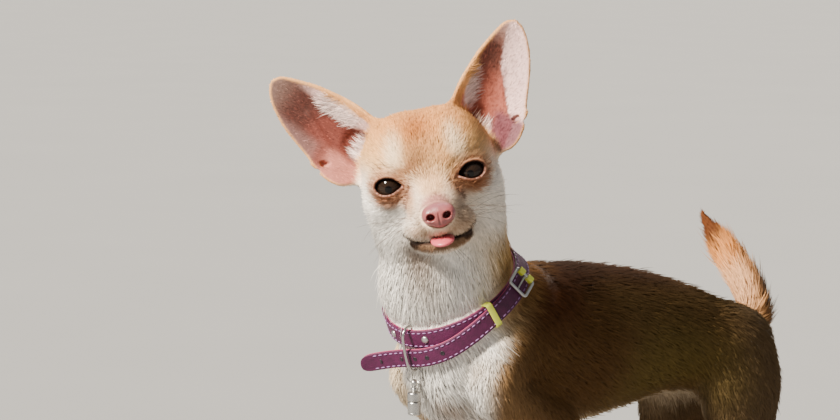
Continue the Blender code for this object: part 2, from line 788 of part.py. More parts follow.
def build_collar(pieces):
    """The band, its buckle and keeper, the free end, and the D-ring with its ring and tag."""
    hoop = Hoop()
    band = [hoop.seat(angle, 0, BAND_OUT) for angle in range(0, 360, 9)]
    linked("collar_band", strap("collar_band", band, closed=True), PURPLE)
    free = free_end_seats(hoop)
    linked("collar_free_end", strap("collar_free_end", free, rounded=True), PURPLE)
    keeper = hoop.seat(KEEPER_AT), (-4.1, -6.9), (0.9, 5.4), 0.9, 1.8
    linked("keeper", hollow("keeper", *keeper), LIME)
    build_buckle(hoop)
    for name, angle in (("rivet_left", 20), ("rivet_right", -21)):
        seat = hoop.seat(angle, 0, BAND_OUT + STRAP_THICKNESS / 2 + 0.1).inside((0, 0, 0), nod=90)
        stud = lathed(name, seat, [(1.9, 0.0), (1.9, 0.3), (1.3, 0.8), (0.4, 1.0)])
        linked(name, stud, STEEL, 1.0, 0.25)
    dee = dee_points(hoop)
    linked("dee_ring", wire_loop("dee_ring", dee, DEE_WIRE), STEEL, 1.0, 0.25)
    build_tag(dee[dee[:, 2].argmin()])
    tools = [
        strap("groove", band[::2], closed=True, grow=2 * GAP),
        strap("groove", free[::2], grow=2 * GAP),
        hollow("groove", *keeper, grow=GAP),
        wire_loop("groove", dee, DEE_WIRE + GAP, 5),
    ]
    for number, tool in enumerate(tools):
        cutter = linked("groove_" + str(number), tool)
        for piece in pieces:
            cut(piece, cutter)


def build_buckle(hoop):
    """The buckle's frame over the strap, the pin across it and the fold round its back bar."""
    seat = hoop.seat(BUCKLE_AT, 0, 4.5)
    frame = hollow("buckle_frame", seat.inside((0, 0, 0), turn=90), (-5.4, -5.2), (5.4, 5.2), 1.6, 0.7)
    linked("buckle_frame", frame, STEEL, 1.0, 0.3)
    linked("buckle_pin", box("buckle_pin", seat, (-5.1, -0.5, -0.7), (5.1, 0.5, 0.7)), STEEL, 1.0, 0.3)
    for name, height in (("buckle_fold_upper", 3.1), ("buckle_fold_lower", -3.1)):
        lobe = seat.inside((6.2, 0, height), tilt=90)
        linked(name, hollow(name, lobe, (-1.0, -1.1), (1.0, 1.1), 0.9, 1.7), LIME)


def dee_points(hoop):
    """The middle line of the D-ring's wire, round both the band and the free end."""
    seat = hoop.seat(DEE_AT)
    corners = [
        (-1.7, 6.0),
        (2.2, 7.2),
        (5.7, 4.6),
        (7.0, -1.0),
        (7.4, -8.0),
        (6.8, -14.8),
        (3.6, -17.7),
        (-0.6, -17.0),
        (-1.8, -12.0),
        (-1.9, -4.0),
        (-1.8, 2.0),
    ]
    path = smooth_path([(0, -out, up) for out, up in corners + corners[:1]], 2)
    return seat.place(path[:-1])


def build_tag(hook):
    """The split ring on the D-ring, and the capsule that hangs from it."""
    drop = SPLIT_RING_RADIUS - SPLIT_RING_WIRE - DEE_WIRE - GAP
    ring = Frame(hook - (0, 0, drop), turn=TAG_TURN)
    loop = ring.place([(SPLIT_RING_RADIUS * x, 0, SPLIT_RING_RADIUS * z) for x, z in circle(14)])
    linked("split_ring", wire_loop("split_ring", loop, SPLIT_RING_WIRE, 5), STEEL, 1.0, 0.25)
    top = ring.inside((0, 0, -SPLIT_RING_RADIUS))
    cap = [(0.5, 2.1), (1.6, 1.5), (2.1, 0.0), (1.6, -1.5), (1.2, -2.1), (1.9, -3.0), (1.9, -3.9)]
    cap += [(1.5, -4.5), (3.4, -5.1), (3.7, -5.7), (3.7, -9.4), (3.3, -9.9)]
    cap_piece = linked("tag_cap", lathed("tag_cap", top, cap), STEEL, 1.0, 0.3)
    hole = lathed("hole", top.inside((0, 0, 0), tilt=90), [(0.95, -4.0), (0.95, 4.0)], 8)
    cut(cap_piece, linked("hole_tag", hole))
    body = [(3.3, -10.2), (3.6, -10.8), (3.6, -16.4), (3.1, -17.5), (0.8, -17.8)]
    linked("tag_body", lathed("tag_body", top, body), STEEL, 1.0, 0.3)


def centred():
    """Moves everything so that the dog stands over the origin, on the ground."""
    bpy.context.view_layer.update()
    depsgraph = bpy.context.evaluated_depsgraph_get()
    corners = []
    for made in bpy.data.objects:
        if not made.hide_render:
            whole = made.evaluated_get(depsgraph).data
            found = np.empty(len(whole.vertices) * 3)
            whole.vertices.foreach_get("co", found)
            corners.append(found.reshape(-1, 3))
    points = np.vstack(corners)
    middle = (points.min(axis=0) + points.max(axis=0)) / 2
    for made in bpy.data.objects:
        made.location = (-middle[0], -middle[1], 0)


def main():
    """Builds every piece."""
    for old in list(bpy.data.objects):
        bpy.data.objects.remove(old)
    ears = [(EAR_BASES[side], -1) for side in (LEFT, RIGHT)]
    middle = HEAD.place((0, 12, 5))
    chin = HEAD.place((0, -20, -34))
    head = fleshy("head", middle - 62, middle + 62, 1.2, 1050, [(NECK_TOP, 1)] + ears)
    jaw = fleshy("lower_jaw", chin - (28, 28, 15), chin + (28, 28, 15), 1.0, 360)
    neck_piece = fleshy("neck", (-65, -115, 145), (55, 15, 262), 2.0, 360, [(NECK_BASE, 1), (NECK_TOP, -1)])
    sides = [(NECK_BASE, -1), (TAIL_BASE, -1)]
    trunk_piece = fleshy("trunk", (-62, -100, 96), (80, 200, 216), 2.2, 1300, sides)
    brush = fleshy("tail", (-30, 140, 140), (40, 200, 240), 1.6, 260, [(TAIL_BASE, 1)])
    parted("neck_base", NECK_BASE, [trunk_piece], [neck_piece])
    parted("neck_top", NECK_TOP, [neck_piece], [head])
    parted("tail_base", TAIL_BASE, [trunk_piece], [brush])
    for side in (LEFT, RIGHT):
        base = EAR_BASES[side]
        whole = base.place((0, 0, 24))
        shell = fleshy("ear_" + SIDE_NAMES[side], whole - 48, whole + 48, 1.1, 340, [(base, 1)])
        parted("ear_base_" + SIDE_NAMES[side], base, [head], [shell])
    build_legs(trunk_piece)
    build_face(head, jaw)
    build_collar([neck_piece, trunk_piece])
    centred()


main()
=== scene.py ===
"""The looks of a smooth-coated chihuahua: its skin, coat, face, claws, collar and studio.

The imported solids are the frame. Here the flesh is one smooth field of muscle masses in
millimetres, measured as the solids are, and the skin is the surface that lies inside it by the
depth of the coat. Every tuft of the coat grows from that skin and follows the lie of the hair.
Axes of a body part are (left, back, up).
"""

import logging
import math
from dataclasses import dataclass
from enum import Enum
from typing import Callable, Dict, List, Optional, Sequence, Tuple

import bmesh
import bpy
import numpy as np
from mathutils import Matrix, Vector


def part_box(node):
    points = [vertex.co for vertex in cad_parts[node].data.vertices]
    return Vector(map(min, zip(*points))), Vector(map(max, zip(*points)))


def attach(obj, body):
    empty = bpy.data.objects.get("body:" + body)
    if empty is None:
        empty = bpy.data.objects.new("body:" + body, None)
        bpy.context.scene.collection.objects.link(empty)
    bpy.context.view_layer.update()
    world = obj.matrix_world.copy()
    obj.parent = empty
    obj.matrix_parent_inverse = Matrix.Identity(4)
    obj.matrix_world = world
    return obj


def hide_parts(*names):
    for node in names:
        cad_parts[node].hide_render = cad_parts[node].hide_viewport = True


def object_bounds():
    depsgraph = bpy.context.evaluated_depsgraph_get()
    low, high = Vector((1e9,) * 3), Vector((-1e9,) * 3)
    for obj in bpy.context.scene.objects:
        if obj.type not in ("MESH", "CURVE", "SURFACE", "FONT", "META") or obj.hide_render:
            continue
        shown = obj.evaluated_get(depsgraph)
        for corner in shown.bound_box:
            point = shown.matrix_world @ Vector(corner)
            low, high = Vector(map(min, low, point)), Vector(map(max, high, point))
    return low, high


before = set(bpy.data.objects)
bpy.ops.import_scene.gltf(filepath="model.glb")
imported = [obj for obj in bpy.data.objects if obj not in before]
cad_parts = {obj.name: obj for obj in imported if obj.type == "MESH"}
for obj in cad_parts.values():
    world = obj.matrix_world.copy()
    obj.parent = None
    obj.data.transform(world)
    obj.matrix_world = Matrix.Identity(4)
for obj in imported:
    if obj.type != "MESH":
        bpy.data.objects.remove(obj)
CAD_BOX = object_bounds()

import openvdb
from mathutils import Matrix, Vector

log = logging.getLogger("chihuahua")

MM = 0.001
# The distance given for points well off a mass, and how far off it is still measured
FAR = 60.0
CULL = 25.0
BODY = "root"
# The name of the colour attribute, which holds the coat's colours with painted shade and highlights
# among them, and the colours of the eyes, nose and tongue
PAINTED = "markings"

Array = np.ndarray
Triple = Tuple[float, float, float]
Row = Tuple[float, ...]
Field = Callable[[Array], Array]


class Side(Enum):
    """The dog's own sides, with the sign that each has on a left axis."""

    LEFT = 1
    RIGHT = -1

    @property
    def hand(self) -> str:
        """The side's name, as the solids' names have it."""
        return self.name.lower()


class Unwrap(Enum):
    """How a part's skin is laid out flat: round its long axis, or its two faces side by side."""

    ROUND = "round"
    PLATE = "plate"


class Axes:
    """A body part's own axes, (left, back, up), placed among the solids, in millimetres."""

    def __init__(self, origin: Sequence[float], matrix: Array) -> None:
        """Keeps where the axes stand.

        Args:
            origin: The point where they meet.
            matrix: Their directions, one to a column.
        """
        self.origin = np.array(origin, float)
        self.matrix = matrix

    @classmethod
    def turned(
        cls, origin: Sequence[float], turn: float = 0, nod: float = 0, tilt: float = 0
    ) -> "Axes":
        """Axes turned to the dog's left, then nodded down, then tilted to its right.

        Args:
            origin: The point where they meet.
            turn: Degrees about up.
            nod: Degrees about left.
            tilt: Degrees about the line ahead.

        Returns:
            The turned axes.
        """
        matrix = (
            Matrix.Rotation(math.radians(turn), 3, "Z")
            @ Matrix.Rotation(math.radians(nod), 3, "X")
            @ Matrix.Rotation(math.radians(-tilt), 3, "Y")
        )
        return cls(origin, np.array(matrix))

    def place(self, point: Sequence[float]) -> Array:
        """Points of these axes, among the solids."""
        return self.origin + np.asarray(point, float) @ self.matrix.T

    def locate(self, points: Array) -> Array:
        """Points among the solids, in these axes."""
        return (points - self.origin) @ self.matrix

    def inside(
        self, point: Sequence[float], turn: float = 0, nod: float = 0, tilt: float = 0
    ) -> "Axes":
        """Axes at a point of these ones, turned from them as turned() does."""
        child = Axes.turned(self.place(point), turn, nod, tilt)
        child.matrix = self.matrix @ child.matrix
        return child


@dataclass(frozen=True)
class Pose:
    """How the dog stands: its driving sizes in millimetres and degrees."""

    withers_to_croup: float = 130.0
    spine_pivot: float = 60.0
    spine_bend: float = 5.0
    head_at: Triple = (29.0, -82.0, 260.5)
    head_turn: float = 55.0
    head_nod: float = -1.2
    head_tilt: float = 11.2
    eye_spacing: float = 43.0
    eye_back: float = 2.0
    eyeball_radius: float = 8.6
    stride: float = 13.0

    def shift(self) -> Array:
        """How far the solids stand from the spine's own axes, read from the eyes."""
        found = []
        loose = Axes.turned(self.head_at, self.head_turn, self.head_nod, self.head_tilt)
        for side in Side:
            low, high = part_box("eye_" + side.hand)
            spot = loose.place((side.value * self.eye_spacing / 2, self.eye_back, 0))
            found.append(np.array((low + high) / 2) / MM - spot)
        offset = np.mean(found, axis=0)
        offset[2] = 0.0
        return offset

    def spine(self, along: float, bend: float) -> Axes:
        """Axes on the ground under the spine.

        Args:
            along: How far behind the pivot of the spine's bend.
            bend: Degrees of turn to the dog's left.

        Returns:
            The axes of that half of the body.
        """
        pivot = Axes.turned(SHIFT + (0, self.spine_pivot, 0), bend)
        return pivot.inside((0, along, 0))


POSE = Pose()
SHIFT = POSE.shift()
FORE = POSE.spine(-POSE.spine_pivot, POSE.spine_bend)
HIND = POSE.spine(POSE.withers_to_croup - POSE.spine_pivot, -POSE.spine_bend)
HEAD = Axes.turned(SHIFT + POSE.head_at, POSE.head_turn, POSE.head_nod, POSE.head_tilt)


def eye_axes(side: Side) -> Axes:
    """Axes at the middle of an eyeball, with the gaze along their own front."""
    at = (side.value * POSE.eye_spacing / 2, POSE.eye_back, 0)
    return HEAD.inside(at, turn=3.3 * side.value - 3.3)


# Shapes of the field. Each gives the signed distance from points to a mass, negative inside


def measured_near(points: Array, near: Array, shape: Field) -> Array:
    """A field at the points where near is true, and FAR at the others."""
    found = np.full(len(points), FAR)
    if near.any():
        found[near] = shape(points[near])
    return found


def altered(
    mass: Array, local: Array, near: Array, change: Callable[[Array, Array], Array]
) -> Array:
    """A field with its values changed where near is true.

    Args:
        mass: The field at some points.
        local: Those points, as the change takes them.
        near: Which of them it touches.
        change: Gives the new values from points and the old values there.

    Returns:
        The changed field.
    """
    if near.any():
        mass = mass.copy()
        mass[near] = change(local[near], mass[near])
    return mass


def scaled_distance(local: Array, radii: Array) -> Array:
    """Distance to an ellipsoid at the origin.

    Args:
        local: Points in the ellipsoid's own axes.
        radii: Its half-sizes, the same for all points or one row to each.

    Returns:
        The distance at each point.
    """
    scaled = local / radii
    reach = np.sqrt((scaled**2).sum(-1)) + 1e-9
    slope = np.sqrt(((scaled / radii) ** 2).sum(-1)) + 1e-9
    return reach * (reach - 1.0) / slope


def ellipsoid(
    points: Array, centre: Sequence[float], radii: Sequence[float], **turns: float
) -> Array:
    """Distance to an ellipsoid.

    Args:
        points: Where to measure.
        centre: Its middle.
        radii: Its half-sizes to the left, back and up.
        turns: The turn, nod and tilt of its own axes.

    Returns:
        The distance at each point, or FAR well away from it.
    """
    radii = np.array(radii, float)
    near = ((points - np.array(centre)) ** 2).sum(-1) < (radii.max() + CULL) ** 2
    axes = Axes.turned(centre, **turns)
    return measured_near(points, near, lambda own: scaled_distance(axes.locate(own), radii))


def smooth_path(rows: Sequence[Row], steps: int) -> Array:
    """A Catmull-Rom curve through rows of numbers.

    Args:
        rows: What it runs through.
        steps: How many steps each stretch takes.

    Returns:
        The rows of the curve.
    """
    rows = np.array(rows, float)
    ends = np.vstack([2 * rows[0] - rows[1], rows, 2 * rows[-1] - rows[-2]])
    found = [rows[0]]
    for before, start, end, after in zip(ends, ends[1:], ends[2:], ends[3:]):
        for step in range(1, steps + 1):
            t = step / steps
            bend = (2 * before - 5 * start + 4 * end - after) * t**2
            ease = (3 * start - before - 3 * end + after) * t**3
            found.append(0.5 * (2 * start + (end - before) * t + bend + ease))
    return np.array(found)


class Run:
    """A tapering tube, with rows of its centre, its half-width across and its half-depth."""

    def __init__(self, rows: Sequence[Row], steps: int = 6, across: Triple = (1, 0, 0)) -> None:
        """Lays the tube's middle line.

        Args:
            rows: What the tube runs through.
            steps: How many steps each stretch takes.
            across: The way its half-width is measured.
        """
        self.rows = smooth_path(rows, steps)
        self.across = np.array(across, float)

    def distance(self, points: Array) -> Array:
        """Distance from points to the tube."""
        found = np.full(len(points), FAR)
        for start, end in zip(self.rows, self.rows[1:]):
            run = end[:3] - start[:3]
            length = np.linalg.norm(run)
            reach = length / 2 + max(start[3:].max(), end[3:].max()) + CULL
            near = ((points - (start[:3] + end[:3]) / 2) ** 2).sum(-1) < reach**2
            if not near.any():
                continue
            along = run / length
            side = self.across - (self.across @ along) * along
            side /= np.linalg.norm(side)
            axes = np.stack([side, np.cross(along, side), along], axis=1)
            offset = points[near] - start[:3]
            share = np.clip(offset @ along / length, 0.0, 1.0)[:, None]
            size = start[3:] + share * (end[3:] - start[3:])
            radii = np.concatenate([size, size.mean(-1, keepdims=True)], axis=-1)
            distance = scaled_distance((offset - share * run) @ axes, radii)
            found[near] = np.minimum(found[near], distance)
        return found

    def heading(self, points: Array) -> Array:
        """The way the tube runs near each point, as unit vectors."""
        runs = np.diff(self.rows[:, :3], axis=0)
        middles = self.rows[:-1, :3] + runs / 2
        runs /= np.linalg.norm(runs, axis=1, keepdims=True)
        apart = ((points[:, None] - middles[None]) ** 2).sum(-1)
        weight = 1.0 / (apart + 30.0) ** 3
        return unit(weight @ runs)


def unit(vectors: Array) -> Array:
    """Vectors brought to unit length."""
    return vectors / (np.linalg.norm(vectors, axis=-1, keepdims=True) + 1e-9)


def joined(first: Array, second: Array, fillet: float) -> Array:
    """Smooth union of two masses, filled in where they meet."""
    near = np.maximum(fillet - np.abs(first - second), 0.0)
    return np.minimum(first, second) - near**2 / (4.0 * fillet)


def carved(mass: Array, tool: Array, fillet: float) -> Array:
    """A mass with another one taken out of it, with a rounded edge."""
    return -joined(-mass, tool, fillet)


def ramp(values: Array, start: float, end: float) -> Array:
    """A smooth step from 0 at start to 1 at end."""
    share = np.clip((values - start) / (end - start), 0.0, 1.0)
    return share * share * (3.0 - 2.0 * share)


def outline_distance(flat: Array, corners: Array) -> Array:
    """Signed distance from points in a plane to a closed outline, negative inside it."""
    nearest = np.full(len(flat), 1e9)
    inside = np.zeros(len(flat), bool)
    for start, end in zip(corners, np.roll(corners, -1, axis=0)):
        run, offset = end - start, flat - start
        share = np.clip(offset @ run / (run @ run), 0.0, 1.0)[:, None]
        nearest = np.minimum(nearest, np.linalg.norm(offset - share * run, axis=1))
        spans = (start[1] > flat[:, 1]) != (end[1] > flat[:, 1])
        with np.errstate(divide="ignore", invalid="ignore"):
            crossing = start[0] + (flat[:, 1] - start[1]) * run[0] / run[1]
        inside ^= spans & (flat[:, 0] < crossing)
    return np.where(inside, -nearest, nearest)


def linear(red: float, green: float, blue: float) -> Triple:
    """A colour given as it looks on a screen, 0 to 255, as light."""
    parts = [value / 255 for value in (red, green, blue)]
    return tuple(v / 12.92 if v <= 0.04045 else ((v + 0.055) / 1.055) ** 2.4 for v in parts)


def tinted(colours: Array, share: Array, shown: Triple) -> Array:
    """Colours moved by a share towards one that is given as it looks on a screen."""
    return colours + share[:, None] * (np.array(linear(*shown)) - colours)


# The dog's parts


@dataclass(frozen=True)
class Hair:
    """How the coat grows on a part, in millimetres, degrees and tufts to the square millimetre."""

    depth: float
    length: float
    width: float
    density: float
    lift: float


class Part:
    """A mass of the dog, with its hair and how that hair lies."""

    name: str
    hair: Hair
    axes: Axes
    # Where the axes stand that its skin is laid out round, and how far they nod
    middle: Triple = (0, 0, 0)
    nod = 0.0
    unwrap = Unwrap.ROUND

    def distance(self, points: Array) -> Array:
        """Distance from points to the mass, out to the tips of its coat."""
        raise NotImplementedError

    def lie(self, points: Array) -> Array:
        """The way the hair lies near points."""
        raise NotImplementedError

    def cropped(self, points: Array) -> Array:
        """The share of its length that the hair has near points."""
        return np.ones(len(points))

    def long_axes(self) -> Axes:
        """Axes whose up runs along the part, to lay its skin out round."""
        return self.axes.inside(self.middle, nod=self.nod)


class Trunk(Part):
    """Thorax, loin and croup along the bent spine, with the breastbone."""

    name = "trunk"
    hair = Hair(1.7, 9.5, 0.66, 0.68, 11.0)
    axes = HIND
    middle = (0, -60, 155)
    nod = 90.0
    front = [(0, -46, 158, 28, 28), (0, -20, 159, 39, 44), (0, 18, 158, 43, 46)]
    rear = [(0, -74, 157, 43, 42), (0, -40, 156, 38, 35), (0, -4, 148, 35, 29), (0, 20, 138, 28, 23)]

    def __init__(self) -> None:
        """Runs the spine through both halves of the body."""
        rows = [(*FORE.place(row[:3]), *row[3:]) for row in self.front]
        rows += [(*HIND.place(row[:3]), *row[3:]) for row in self.rear]
        self.run = Run(rows, 8)

    def distance(self, points: Array) -> Array:
        """Distance to the barrel of the body."""
        breastbone = ellipsoid(FORE.locate(points), (0, -52, 146), (25, 22, 25))
        return joined(self.run.distance(points), breastbone, 16)

    def lie(self, points: Array) -> Array:
        """Backwards along the spine and a little down, and down over the breast."""
        local = FORE.locate(points)
        breast = ramp(-local[:, 1], 25, 60) * ramp(-local[:, 2], -185, -150)
        back = self.run.heading(points) * (1.0 - 0.8 * breast)[:, None]
        fan = np.clip(local[:, :1] / 30, -1, 1) * breast[:, None] * FORE.matrix[:, 0] * 0.5
        return back + fan + (0, 0, -0.45)


class Tube(Part):
    """A part that is one tapering tube, in the axes of its half of the body."""

    rows: List[Row]

    def __init__(self) -> None:
        """Runs the tube through its rows."""
        self.run = Run(self.rows)

    def distance(self, points: Array) -> Array:
        """Distance to the tube."""
        return self.run.distance(self.axes.locate(points))


class Neck(Tube):
    """Neck and throat, from between the shoulders to the skull."""

    name = "neck"
    hair = Hair(2.6, 10.0, 0.47, 1.2, 8.5)
    axes = FORE
    middle = (-4, -52, 205)
    nod = 10.0
    rows = [
        (0, -24, 170, 35, 36),
        (-4, -52, 194, 36, 38),
        (-5, -56, 220, 35, 37),
        (-5, -58, 242, 30, 32),
    ]
    throat = (6.0, -66.0, 236.0)

    def lie(self, points: Array) -> Array:
        """Down the neck, fanning out from under the chin."""
        local = FORE.locate(points)
        down = -self.run.heading(local)
        fan = unit(local - self.throat) * ramp(-local[:, 1], 40, 75)[:, None]
        return (down + 0.75 * fan) @ FORE.matrix.T


class Tail(Tube):
    """A sickle tail, carried up over the back, with its brush."""

    name = "tail"
    hair = Hair(2.6, 11.5, 0.55, 1.7, 15.0)
    axes = HIND
    middle = (-6, 33, 185)
    nod = 20.0
    rows = [
        (0, 24, 149, 9, 10),
        (0, 40, 156, 9.5, 10),
        (-4, 39, 176, 9.5, 9.5),
        (-10, 26, 200, 8, 8),
        (-16, 14, 221, 3.5, 3.5),
    ]

    def lie(self, points: Array) -> Array:
        """Along the tail, towards its tip."""
        return self.run.heading(HIND.locate(points)) @ HIND.matrix.T

    def cropped(self, points: Array) -> Array:
        """Shorter towards the tip, so that the brush ends in a point."""
        away = np.linalg.norm(HIND.locate(points) - self.rows[-1][:3], axis=1)
        return 0.3 + 0.7 * ramp(away, 2, 34)


class Limb(Part):
    """A leg: the masses of its upper and lower stretches, and its paw with four toes."""

    kind: str
    stride: float
    paw_at: Tuple[float, float]
    paw_half: Tuple[float, float]
    hair = Hair(0.9, 5.2, 0.45, 0.95, 12.0)
    toes = 4
    toe_radii = (4.4, 8.0, 6.8)
    # Where a claw starts, from its toe's middle
    claw_root = (0, -5.6, 0.8)
    # How far out its field is measured, to the left and back
    reach = (95.0, 100.0)

    def __init__(self, side: Side) -> None:
        """Keeps the side and lays the leg's masses.

        Args:
            side: Which of the two legs it is.
        """
        self.side = side
        self.name = self.kind + "_" + side.hand
        self.runs = [Run(rows) for rows in self.stretches(side.value)]

    def distance(self, points: Array) -> Array:
        """Distance to the leg and its paw."""
        local = self.axes.locate(points)
        near = (np.abs(local[:, :2]) < self.reach).all(-1)
        return measured_near(local, near, self.mass)

    def mass(self, local: Array) -> Array:
        """Distance to the leg from points in its own axes."""
        found = joined(self.runs[0].distance(local), self.runs[1].distance(local), 8)
        for run in self.runs[2:]:
            found = joined(found, run.distance(local), 5)
        return joined(found, self.paw(local), 6)

    def paw_plan(self) -> Tuple[Triple, float, float]:
        """Middle and half-sizes of the paw."""
        side, (x, y) = self.side.value, self.paw_at
        return (side * x, y + self.stride * side, 0), *self.paw_half

    def toe_tip(self, number: int) -> Tuple[Array, float]:
        """Where a toe ends.

        Args:
            number: The toe, counted from the dog's right.

        Returns:
            The toe's middle and the turn it points with.
        """
        centre, half_width, half_length = self.paw_plan()
        half = (self.toes - 1) / 2
        spread = (number - half) / half
        forward = half_length * (0.32 + 0.26 * (1.0 - abs(spread)))
        tip = (centre[0] + spread * half_width * 0.68, centre[1] - forward, 5.5)
        return np.array(tip), 10 * spread

    def paw(self, local: Array) -> Array:
        """Distance to the paw, whose sole lies below the ground so that it is cut flat."""
        centre, half_width, half_length = self.paw_plan()
        radii = (half_width * 0.9, half_length * 0.7, 10)
        mass = ellipsoid(local, (centre[0], centre[1] + 5, 8), radii)
        for number in range(self.toes):
            tip, turn = self.toe_tip(number)
            mass = joined(mass, ellipsoid(local, tip, self.toe_radii, turn=turn), 1.4)
        return mass

    def claw_seats(self) -> List[Axes]:
        """Axes at the root of each claw, at the front of each toe."""
        seats = []
        for number in range(self.toes):
            tip, turn = self.toe_tip(number)
            seats.append(self.axes.inside(tip, turn=turn).inside(self.claw_root))
        return seats

    def lie(self, points: Array) -> Array:
        """Down the leg and a little back, then forward over the toes."""
        local = self.axes.locate(points)
        low = ramp(-local[:, 2], -16, -7)[:, None]
        down = np.array([0, 0.28, -1.0]) * (1 - low)
        forward = np.array([0, -1.0, -0.35]) * low
        return (down + forward) @ self.axes.matrix.T

    def long_axes(self) -> Axes:
        """Up along the leg."""
        centre = self.paw_plan()[0]
        return self.axes.inside((centre[0], centre[1] + 12, 0))


class Foreleg(Limb):
    """Shoulder, upper arm, forearm and paw. The right leg stands forward and the left leg back."""

    kind = "foreleg"
    axes = FORE
    stride = POSE.stride
    paw_at = (30, -38)
    paw_half = (12.5, 17.0)
    dewclaw_at = (24.6, -31, 31)

    def stretches(self, side: int) -> List[List[Row]]:
        """The rows of the shoulder and the forearm."""
        step = self.stride * side
        shoulder = [
            (side * 22, -4, 184, 12, 14),
            (side * 34, -51, 149, 14, 15),
            (side * 34, -18 + step / 2, 118, 11, 15),
        ]
        forearm = [
            (side * 34, -14 + step / 2, 120, 10, 13),
            (side * 32, -22 + 0.7 * step, 84, 8.5, 9.5),
            (side * 30, -26 + step, 46, 7.2, 7.8),
            (side * 30, -29 + step, 16, 8, 8),
        ]
        return [shoulder, forearm]

    def claw_seats(self) -> List[Axes]:
        """The four toes' claws, and the dewclaw on the inner side."""
        side, (x, y, z) = self.side.value, self.dewclaw_at
        seat = self.axes.inside((side * x, y + self.stride * side, z), turn=-35 * side, nod=50)
        return super().claw_seats() + [seat]


class Hindleg(Limb):
    """Thigh, second thigh, hock and paw."""

    kind = "hindleg"
    axes = HIND
    stride = 3.0
    paw_at = (28, 26)
    paw_half = (12.0, 16.5)

    def stretches(self, side: int) -> List[List[Row]]:
        """The rows of the thigh, the shin and the hock."""
        step = self.stride * side
        thigh = [
            (side * 20, 7, 148, 18, 30),
            (side * 27, 7 + step, 124, 16, 28),
            (side * 30, 6 + step, 100, 12, 21),
        ]
        shin = [
            (side * 30, 4 + step, 102, 11, 19),
            (side * 29, 26 + step, 80, 9, 12.5),
            (side * 28, 44 + step, 58, 6.5, 8),
        ]
        hock = [
            (side * 28, 45 + step, 58, 6.5, 8),
            (side * 28, 41 + step, 36, 6.8, 7),
            (side * 28, 36 + step, 14, 8, 8),
        ]
        return [thigh, shin, hock]


class Cranium(Part):
    """The domed forehead, cheeks and jaw muscles."""

    name = "cranium"
    hair = Hair(0.7, 3.7, 0.31, 1.9, 14.0)
    axes = HEAD
    middle = (0, 18, 0)
    nose_tip = (1.2, -38.0, -16.0)
    # Middle, half-sizes and fillet of the forehead, the cheekbone and the jaw's muscle
    lobes = [
        ((13, 16, 9), (21, 25, 26), 8),
        ((26, 20, -10), (12, 20, 13), 8),
        ((18, 24, -24), (16, 20, 14), 10),
    ]

    def distance(self, points: Array) -> Array:
        """Distance to the cranium."""
        local = HEAD.locate(points)
        mass = ellipsoid(local, (0, 27, 3), (35, 37, 32.5))
        for side in (1, -1):
            for (x, back, up), radii, fillet in self.lobes:
                mass = joined(mass, ellipsoid(local, (side * x, back, up), radii), fillet)
            brow = (side * POSE.eye_spacing / 2, 2.5, 0)
            mass = joined(mass, ellipsoid(local, brow, (11, 10, 10)), 5)
        return mass

    def lie(self, points: Array) -> Array:
        """Away from the nose, and down at the back of the head and the jaw."""
        local = HEAD.locate(points)
        away = unit(local - self.nose_tip)
        away[:, 2] -= 0.7 * ramp(local[:, 1], 22, 55) + 0.5 * ramp(-local[:, 2], 8, 30)
        return away @ HEAD.matrix.T


class Muzzle(Cranium):
    """Bridge of the nose, upper lips and lower jaw."""

    name = "muzzle"
    hair = Hair(0.3, 2.3, 0.22, 3.4, 16.0)
    middle = (0, -12, -20)
    nod = 90.0
    upper = [
        (0, 2, -12, 17, 12),
        (0, -11, -14, 14.5, 11),
        (0, -21, -18, 11.5, 10),
        (0, -27, -18.5, 10, 9.2),
    ]
    lower = [(0, 14, -29.5, 20, 10), (0, -4, -31, 17.5, 8), (0, -17, -32, 12.5, 6.4)]

    def __init__(self) -> None:
        """Runs the bridge and the jaw forward."""
        self.runs = Run(self.upper), Run(self.lower)

    def distance(self, points: Array) -> Array:
        """Distance to the muzzle."""
        local = HEAD.locate(points)
        mass = joined(self.runs[0].distance(local), self.runs[1].distance(local), 3)
        for side in (1, -1):
            lip = ellipsoid(local, (side * 9.5, -13, -23.5), (9.8, 14.3, 8), turn=-16 * side)
            mass = joined(mass, lip, 4)
        return mass


